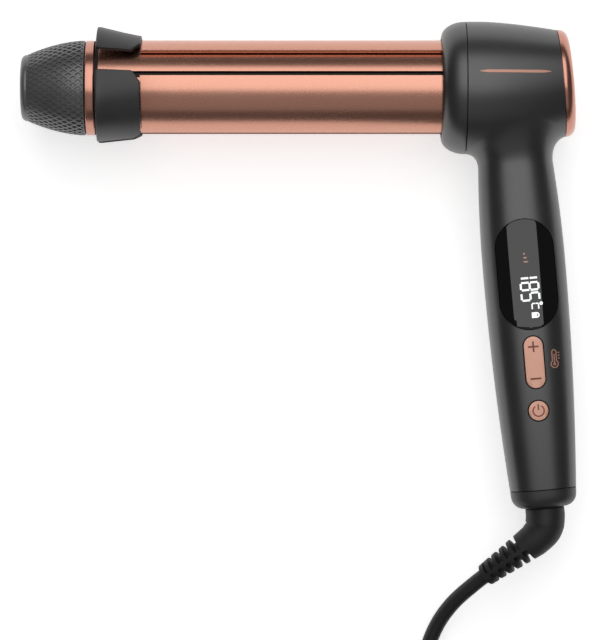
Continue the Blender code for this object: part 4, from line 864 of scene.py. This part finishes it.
# %% Tools for the openings
def pill(name, width, length, down, low, high):
    """A round-ended prism on the handle's middle line."""
    bpy.ops.object.select_all(action="DESELECT")
    bpy.ops.mesh.primitive_cylinder_add(vertices=96, radius=width / 2, depth=high - low)
    tool = start_piece(name)
    edit(tool, "VERT")
    for side in (-1, 1):
        bpy.ops.mesh.select_all(action="DESELECT")
        choose(tool, "verts", lambda v: v.co.y * side > 1e-6)
        bpy.ops.transform.translate(value=(0, side * (length - width) / 2, 0))
    settle(tool, Matrix.Translation((0, -down, (low + high) / 2)))
    return tool


WINDOW = (22.9 * MM, 43.7 * MM, 74.8 * MM)      # width, length, distance down the handle
ROCKER = (7.5 * MM, 20.4 * MM, 109.7 * MM)
POWER = (7.7 * MM, 7.7 * MM, 128.9 * MM)
BOSSES = (41.0 * MM, 141.5 * MM)

# %% [markdown]
# The front shell keeps 0.15 mm from the middle plane, and so does the rear one, which leaves the
# fine dark line of a seam.

# %% Two shells
for side, name in ((1, "front"), (-1, "rear")):
    shell = copy_of(outside, f"{name}_shell")
    low, high = sorted((0.15 * MM * side, -40 * MM * side))
    cut(shell, block((-100 * MM, -250 * MM, low), (100 * MM, 60 * MM, high)))
    settle(shell, HANDLE_IN_BARREL.inverted())
    if side > 0:
        for (width, length, down), room in ((WINDOW, 0.3 * MM), (ROCKER, 0.5 * MM), (POWER, 0.5 * MM)):
            cut(shell, pill("opening", width + 2 * room, length + 2 * room, down, 5 * MM, 30 * MM))
    else:
        for down in BOSSES:
            skin = -swell(down, HALF_DEPTHS) + 1 * MM
            for tool, across, low, high, job in (("boss", 6.8 * MM, skin, -0.5 * MM, "UNION"),
                                                 ("sink", 5.0 * MM, -30 * MM, -6 * MM, "DIFFERENCE"),
                                                 ("hole", 2.6 * MM, -12 * MM, 2 * MM, "DIFFERENCE")):
                cut(shell, pill(tool, across, across, down, low, high), job)
    soften(shell, 0, smooth=32)
    hand_over(shell, HANDLE, "iron", soft_touch, "soft_black", f"{name}_housing")
bpy.data.objects.remove(outside, do_unlink=True)

# %% [markdown]
# The handle's end is a separate moulding with a soft corner and a round hole for the swivel.

# %% End of the handle
END_CORNER = 4.5 * MM
LEDGE_AT = SEAM_AT - 3.4 * MM


def end_place(angle, station):
    kind, value = station
    if kind == "bore":
        radius, at = value
        return Vector((radius * cos(angle), -at, radius * sin(angle)))
    at, inset = value
    x, z = rounded(angle, swell(at, HALF_WIDTHS) - inset, swell(at, HALF_DEPTHS) - inset)
    return Vector((x, -at, z))


corner_at = HANDLE_END - END_CORNER
end_rings = [("bore", (5.9 * MM, LEDGE_AT)), ("skin", (LEDGE_AT, 2.6 * MM)),
             ("skin", (SEAM_AT + 0.3 * MM, 2.6 * MM)), ("skin", (SEAM_AT + 0.3 * MM, 0.15 * MM)),
             ("skin", (SEAM_AT + 0.45 * MM, 0.0)), ("skin", (SEAM_AT + 1.6 * MM, 0.0))]
end_rings += [("skin", (corner_at + END_CORNER * sin(a), END_CORNER * (1 - cos(a))))
              for a in spread(0, pi / 2, 10)]
end_rings += [("bore", (6.4 * MM, HANDLE_END)), ("bore", (6.05 * MM, HANDLE_END - 0.15 * MM)),
              ("bore", (5.9 * MM, HANDLE_END - 0.5 * MM)), ("bore", (5.9 * MM, LEDGE_AT))]
handle_end = sleeve("handle_end", 128, end_rings, end_place, "NOTHING")
edit(handle_end)
clean(WELD)
soften(handle_end, 0)
hand_over(handle_end, HANDLE, "iron", moulded_black, "hard_black", "handle_end_cap")

# %% [markdown]
# The display window and the two keys follow the curve of the handle. Each is a prism cut by the
# handle's own surface, moved out for the keys so that they stand a little proud.

# %% Window and keys
def skin_solid(proud, end=150 * MM):
    """The handle's body round the openings, moved outwards by a little."""
    return sleeve("skin_solid", 144, spread(40 * MM, end, 36), lambda a, at: grip_place(a, at, proud))


def set_in(name, sizes, proud, thickness, bevel):
    """A round-ended key between two levels of the handle's surface."""
    width, length, down = sizes
    key = pill(name, width, length, down, 4 * MM, 30 * MM)
    cut(key, skin_solid(proud), "INTERSECT")
    cut(key, skin_solid(proud - thickness))
    soften(key, bevel, 3)
    return key


window = set_in("window_pane", WINDOW, 0.0, 1.6 * MM, 0.12 * MM)
hand_over(window, HANDLE, "iron", smoked_window, "smoked_window", "display_window")
rocker = set_in("rocker_key", ROCKER, 0.5 * MM, 3.7 * MM, 0.35 * MM)
hand_over(rocker, HANDLE, "rocker", copper_lacquer, "copper_key", "temperature_rocker")
power = set_in("power_key_top", POWER, 0.5 * MM, 3.7 * MM, 0.35 * MM)
hand_over(power, HANDLE, "power_key", copper_lacquer, "copper_key", "power_button")

# %% [markdown]
# The signs are strips of ink: each stroke is a narrow grid laid along its line and down on the
# surface below it. The display shows a plain temperature with its unit and a small lock.

# %% Strokes
def ink(sign):
    """Turn the strips of a sign face up and give them the thickness of ink."""
    edit(sign)
    mesh = bmesh.from_edit_mesh(sign.data)
    for face in mesh.faces:
        face.normal_update()
        if face.normal.z < 0:
            face.normal_flip()
    bmesh.update_edit_mesh(sign.data)
    apply_modifier(sign, "SOLIDIFY", thickness=0.06 * MM, offset=-1.0)


def strokes(name, lines, width, lift, body, finish, slot):
    """Strips along lines of (across, down) points in mm, laid on the handle's face."""
    parts = []
    for line in lines:
        points = [Vector(p) for p in line]
        count = len(points)
        closed = (points[0] - points[-1]).length < 1e-6

        def lay(share, i):
            before = points[i - 1] if i else (points[-2] if closed else points[0])
            after = points[i + 1] if i < count - 1 else (points[1] if closed else points[-1])
            ahead = (after - before).normalized()
            spot = (points[i] + share * width / 2 * Vector((-ahead.y, ahead.x))) * MM
            return Vector((spot.x, -spot.y, face_height(spot.x, spot.y) + lift * MM))

        parts.append(plate(name, 1, list(range(count)), lay, 0))
    only(parts[0])
    for part in parts[1:]:
        part.select_set(True)
    if len(parts) > 1:
        bpy.ops.object.join()
    sign = parts[0]
    ink(sign)
    hand_over(sign, HANDLE, body, finish, slot)


def straight(a, b, count=4):
    return list(zip(spread(a[0], b[0], count), spread(a[1], b[1], count)))


# %% [markdown]
# Each digit is made of up to seven bars, and the unit from the same bars and a ring.

# %% Digits of the display
BARS = {"a": ((1, 0), (1, 1)), "b": ((1, 1), (0.5, 1)), "c": ((0.5, 1), (0, 1)), "d": ((0, 0), (0, 1)),
        "e": ((0, 0), (0.5, 0)), "f": ((0.5, 0), (1, 0)), "g": ((0.5, 0), (0.5, 1))}
DIGITS = {"1": "bc", "8": "abcdefg", "5": "acdfg", "C": "adef"}


def digit(sign, low, top, start, wide, gap=0.28):
    """Bars of a seven-bar digit. It is read down the handle, with its top to the right."""
    lines = []
    for bar in DIGITS[sign]:
        (v0, u0), (v1, u1) = BARS[bar]
        a = Vector((low + (top - low) * v0, start + wide * u0))
        b = Vector((low + (top - low) * v1, start + wide * u1))
        trim = (b - a).normalized() * gap
        lines.append([tuple(a + trim), tuple(b - trim)])
    return lines


FOOT, TOP = -2.9, 4.1      # mm across the handle
temperature = []
for sign, start, wide in (("1", 73.6, 2.7), ("8", 78.1, 2.9), ("5", 82.2, 2.9)):
    temperature += digit(sign, FOOT, TOP, start, wide)
strokes("display_digits", temperature, 0.78, 0.08, "iron", lit_display, "smoked_window")
degree = bow((4.6, 86.6), 0.45, 0, 360, 12)
shackle = bow((2.5, 91.1), 0.85, -90, 90, 10)
lock = [straight((0.75 + 0.4 * k, 90.0), (0.75 + 0.4 * k, 92.2)) for k in range(5)]
unit = digit("C", 0.9, 3.5, 86.5, 2.3, 0.1) + [degree, shackle] + lock
strokes("display_unit", unit, 0.5, 0.08, "iron", lit_display, "smoked_window")
level = [straight((-0.9, at), (-0.9 + size, at))
         for at, size in ((66.6, 0.7), (68.2, 1.2), (69.8, 1.7))]
strokes("display_level", level, 0.55, 0.08, "iron", print_ink, "smoked_window")

# %% [markdown]
# A plus and a minus on the rocker, a standby sign on the power key and a thermometer beside them.

# %% Signs on the keys and the handle
plus = [straight((-2.1, 103.5), (2.1, 103.5)), straight((0, 101.4), (0, 105.6))]
minus = [straight((-2.2, 116.2), (2.2, 116.2))]
strokes("rocker_signs", plus + minus, 0.72, 0.54, "rocker", mark_ink, "copper_key")
standby = [bow((0, 128.9), 2.2, -55, 235, 28), straight((0, 126.3), (0, 128.7))]
strokes("power_sign", standby, 0.55, 0.54, "power_key", mark_ink, "copper_key")
bulb = (8.0, 111.0)
stem_line = (bow(bulb, 1.45, -55, 235, 20) + straight((7.17, 109.6), (7.17, 106.2), 3)
             + bow((8.0, 106.2), 0.83, 180, 360, 8) + straight((8.83, 106.2), (8.83, 109.8), 3))
gauge = [stem_line, bow(bulb, 0.4, 0, 360, 10), straight((8.0, 107.0), (8.0, 110.4))]
gauge += [straight((9.5, at), (10.2, at)) for at in (106.6, 107.7, 108.8)]
strokes("heat_sign", gauge, 0.42, 0.03, "iron", print_ink, "copper_key")

# %% [markdown]
# A thin stripe crosses the head where a maker would put a name. It follows the round of the head.

# %% Stripe on the head
STRIPE_HALF, STRIPE_TAPER, STRIPE_UP = 0.55 * MM, 4 * MM, 5.2 * MM
stripe_x = [14.5 * MM + 28.0 * MM * k / 20 for k in range(21)]


def stripe_place(share, x):
    wide = STRIPE_HALF * min(1.0, (x - stripe_x[0]) / STRIPE_TAPER + 0.25,
                             (stripe_x[-1] - x) / STRIPE_TAPER + 0.25)
    y = STRIPE_UP + share * wide
    radius, rise, _ = head_sizes(x)
    return Vector((x, y, sqrt(radius ** 2 - (y - rise) ** 2) + 0.04 * MM))


stripe = plate("head_stripe", 2, stripe_x, stripe_place, 0)
ink(stripe)
hand_over(stripe, BARREL, "iron", print_ink, "copper_key")

# %% [markdown]
# The bend sleeve is moulded in soft rubber. Short slots on both sides let it bend evenly. It is
# a sleeve of many rings along the first bend of the cord's way, and the slots are where rings
# drop to the core.

# %% Bend sleeve
sleeve_line = smooth_line(way, 0.25 * MM, 0.0, SLEEVE_LENGTH)
SLOT_PITCH, SLOT_WIDTH, FIRST_SLOT = 3.9 * MM, 1.9 * MM, 17.6 * MM
down_world = (HANDLE.to_3x3() @ Vector((0, -1, 0))).normalized()


def sleeve_place(angle, ring):
    if ring < 0:
        radius, at = {-5: (0.1, 13.2), -4: (5.0, 13.2), -3: (5.0, 11.0), -2: (3.5, 10.9),
                      -1: (3.5, -0.25)}[ring]
        centre = SWIVEL - down_world * at * MM
        radius *= MM
        ahead = down_world
    else:
        share = max(0.0, (ring / (len(sleeve_line) - 1) - 0.15) / 0.85)
        radius = (7.8 - 3.2 * share ** 0.8) * MM
        centre = SWIVEL + sleeve_line[ring]
        after = sleeve_line[min(ring + 1, len(sleeve_line) - 1)]
        ahead = (after - sleeve_line[max(ring - 1, 0)]).normalized()
        if ring < 2:
            ahead = down_world
            centre = SWIVEL + down_world * (0.3 * MM + ring * 0.25 * MM)
            radius -= 0.2 * MM if ring == 0 else 0
        travelled = ring * 0.25 * MM
        side = cos(angle)
        for slots, facing in ((0.0, 1), (SLOT_PITCH / 2, -1)):
            along = (travelled - FIRST_SLOT - slots) % SLOT_PITCH
            inside = travelled > FIRST_SLOT + slots and travelled < SLEEVE_LENGTH - 2.2 * MM
            if inside and along < SLOT_WIDTH and side * facing > 0.18:
                radius = min(radius, 3.5 * MM)
    across = ahead.cross(Vector((0, 0, 1))).normalized() * -1
    over = across.cross(ahead)
    return centre + radius * (cos(angle) * across + sin(angle) * over)


boot = sleeve("bend_sleeve", 56, list(range(-5, len(sleeve_line))), sleeve_place)
soften(boot, 0, smooth=38)
hand_over(boot, Matrix(), "cord_set", rubber, "cord_rubber", "strain_relief")

# %% [markdown]
# A silicone strap holds the coil. It is a closed band bent round the section of the coil.

# %% Strap round the coil
coil_top = COIL_LOW + 3 * PITCH + 0.3 * MM
strap_middle = Vector((COIL_MEAN, 0, (COIL_LOW + coil_top) / 2))
half_wide = 1.5 * PITCH + 0.75 * MM
half_high = 1.5 * PITCH + 0.5 * MM


def strap_place(share, angle):
    x = signed_power(cos(angle), 0.35) * half_wide
    z = signed_power(sin(angle), 0.35) * half_high
    return strap_middle + Vector((x, share * 4.8 * MM, z))


strap = plate("coil_strap", 6, spread(0, 2 * pi, 72), strap_place, 0)
edit(strap)
clean(WELD)
apply_modifier(strap, "SOLIDIFY", thickness=0.6 * MM, offset=-1.0)
soften(strap, 0.12 * MM, 2)
strap_at = Matrix.Translation(SWIVEL + COIL_CENTRE) @ Matrix.Rotation(radians(-85), 4, "Z")
hand_over(strap, strap_at, "cord_set", silicone, "tie_silicone", "cord_tie")

# %% [markdown]
# The plug is one soft moulding that narrows towards the cord, with grip ribs on its sides and
# two plated pins in the flat face.

# %% Plug and pins
plug_at = (Matrix.Translation(SWIVEL + tail[-1]) @ TAIL_TURN.to_4x4()
           @ Matrix.Translation((-0.3 * MM, 0, 0)))
# Distance, width, depth and roundness of each section, where 2 is an ellipse.
PLUG_SECTIONS = [(0.0, 8.2, 8.2, 2.0), (0.8, 9.2, 9.2, 2.0), (8.0, 9.8, 9.6, 2.0),
                 (15.0, 11.5, 10.4, 2.2), (17.6, 20.1, 11.9, 2.6), (21.9, 31.0, 13.4, 3.0),
                 (25.9, 35.3, 13.7, 3.4), (46.6, 34.5, 13.3, 3.4), (47.6, 34.0, 12.9, 3.4),
                 (48.0, 33.0, 12.0, 3.4)]


def plug_place(angle, along):
    index = max(i for i, section in enumerate(PLUG_SECTIONS) if section[0] <= along + 1e-6)
    low, high = PLUG_SECTIONS[index], PLUG_SECTIONS[min(index + 1, len(PLUG_SECTIONS) - 1)]
    share = (along - low[0]) / max(high[0] - low[0], 1e-6)
    width, depth, power = [low[k] + (high[k] - low[k]) * ease(share) for k in (1, 2, 3)]
    c, s = cos(angle), sin(angle)
    if 28 < along < 44 and abs(s) < 0.45:
        width -= 0.9 * (0.5 - 0.5 * cos(2 * pi * (along - 28) / 2.667))
    return Vector((-along, signed_power(c, 2 / power) * width / 2,
                   signed_power(s, 2 / power) * depth / 2)) * MM


plug = sleeve("plug", 64, spread(0, 48, 144), plug_place)
soften(plug, 0, smooth=45)
hand_over(plug, plug_at, "cord_set", plug_pvc, "plug_plastic", "plug_body")
for name, side in (("left", -1), ("right", 1)):
    pin = turned_piece(f"pin_{name}", in_mm((-47.6, 0.0), (-47.6, 2.0), (-65.6, 2.0), (-66.7, 1.7),
                                            (-67.3, 1.0), (-67.3, 0.0)), 32)
    drop_slivers(pin)
    soften(pin, 0)
    pin_at = plug_at @ Matrix.Translation((0, side * 9.3 * MM, 0))
    hand_over(pin, pin_at, "cord_set", nickel, "pin_metal", f"plug_pin_{name}")

mains_cord.data.materials.append(rubber)

# %% [markdown]
# Two screws hold the shells together, sunk in the rear one. Each is turned, and gets a cross
# recess from two crossed blocks.

# %% Screws with a cross recess
for name, down in zip(("upper", "lower"), BOSSES):
    screw = turned_piece(f"shell_screw_{name}",
                         in_mm((-8.1, 0.0), (-8.1, 1.6), (-7.6, 2.1), (-6.3, 2.2), (-6.3, 1.2),
                               (6.0, 1.2), (6.0, 0.0)), 32)
    drop_slivers(screw)
    only(screw)
    for long, wide in ((1.1 * MM, 0.25 * MM), (0.25 * MM, 1.1 * MM)):
        cut(screw, block((-8.9 * MM, -long, -wide), (-7.3 * MM, long, wide)))
    soften(screw, 0)
    turn_up = Matrix.Rotation(-pi / 2, 4, "Y")
    screw_at = HANDLE @ Matrix.Translation((0, -down, 0)) @ turn_up
    hand_over(screw, screw_at, "iron", spring_steel, "steel", f"housing_screw_{name}")

# %% [markdown]
# A pale floor and soft studio light. One large softbox stands behind the barrel and gives metal
# and plastic their broad highlights. A dim one on the handle's side keeps the shaded half of the
# barrel rose, and the floor sends light back up to the edges.

# %% Floor and light
FLOOR_GLOW, SKY_GLOW = 0.62, 0.1
bpy.ops.object.select_all(action="DESELECT")
bpy.ops.mesh.primitive_plane_add(size=6.0, location=(0, 0, -0.0005))
floor = start_piece("floor")
floor_finish = bpy.data.materials.new("pale_floor")
floor_finish.use_nodes = True
floor_shader = floor_finish.node_tree.nodes["Principled BSDF"]
floor_shader.inputs["Base Color"].default_value = hex_colour("F2F2F2")
floor_shader.inputs["Roughness"].default_value = 0.9
floor_shader.inputs["Emission Color"].default_value = (1, 1, 1, 1)
floor_shader.inputs["Emission Strength"].default_value = FLOOR_GLOW
floor.data.materials.append(floor_finish)


def softbox(name, width, length, place, aim, strength):
    lamp = bpy.data.lights.new(name, "AREA")
    lamp.shape = "RECTANGLE"
    lamp.size, lamp.size_y = width, length
    lamp.energy = strength * width * length * pi       # the same glow at any size of box
    box_light = bpy.data.objects.new(name, lamp)
    box_light.location = place
    box_light.rotation_euler = (Vector(aim) - Vector(place)).to_track_quat("-Z", "Y").to_euler()
    bpy.context.collection.objects.link(box_light)


softbox("main_box", 2.05, 2.75, (0.06, 0.86, 1.98), (0, 0, 0.03), 1.6)
softbox("lower_fill", 2.0, 1.9, (0.06, -1.25, 1.8), (0, 0, 0.03), 0.28)
world = bpy.data.worlds.new("studio")
world.use_nodes = True
world.node_tree.nodes["Background"].inputs["Color"].default_value = (1, 1, 1, 1)
world.node_tree.nodes["Background"].inputs["Strength"].default_value = SKY_GLOW
bpy.context.scene.world = world
bpy.context.scene.view_settings.view_transform = "Standard"

# %% [markdown]
# The view layer is brought up to date.

# %% Update the view layer
bpy.context.view_layer.update()
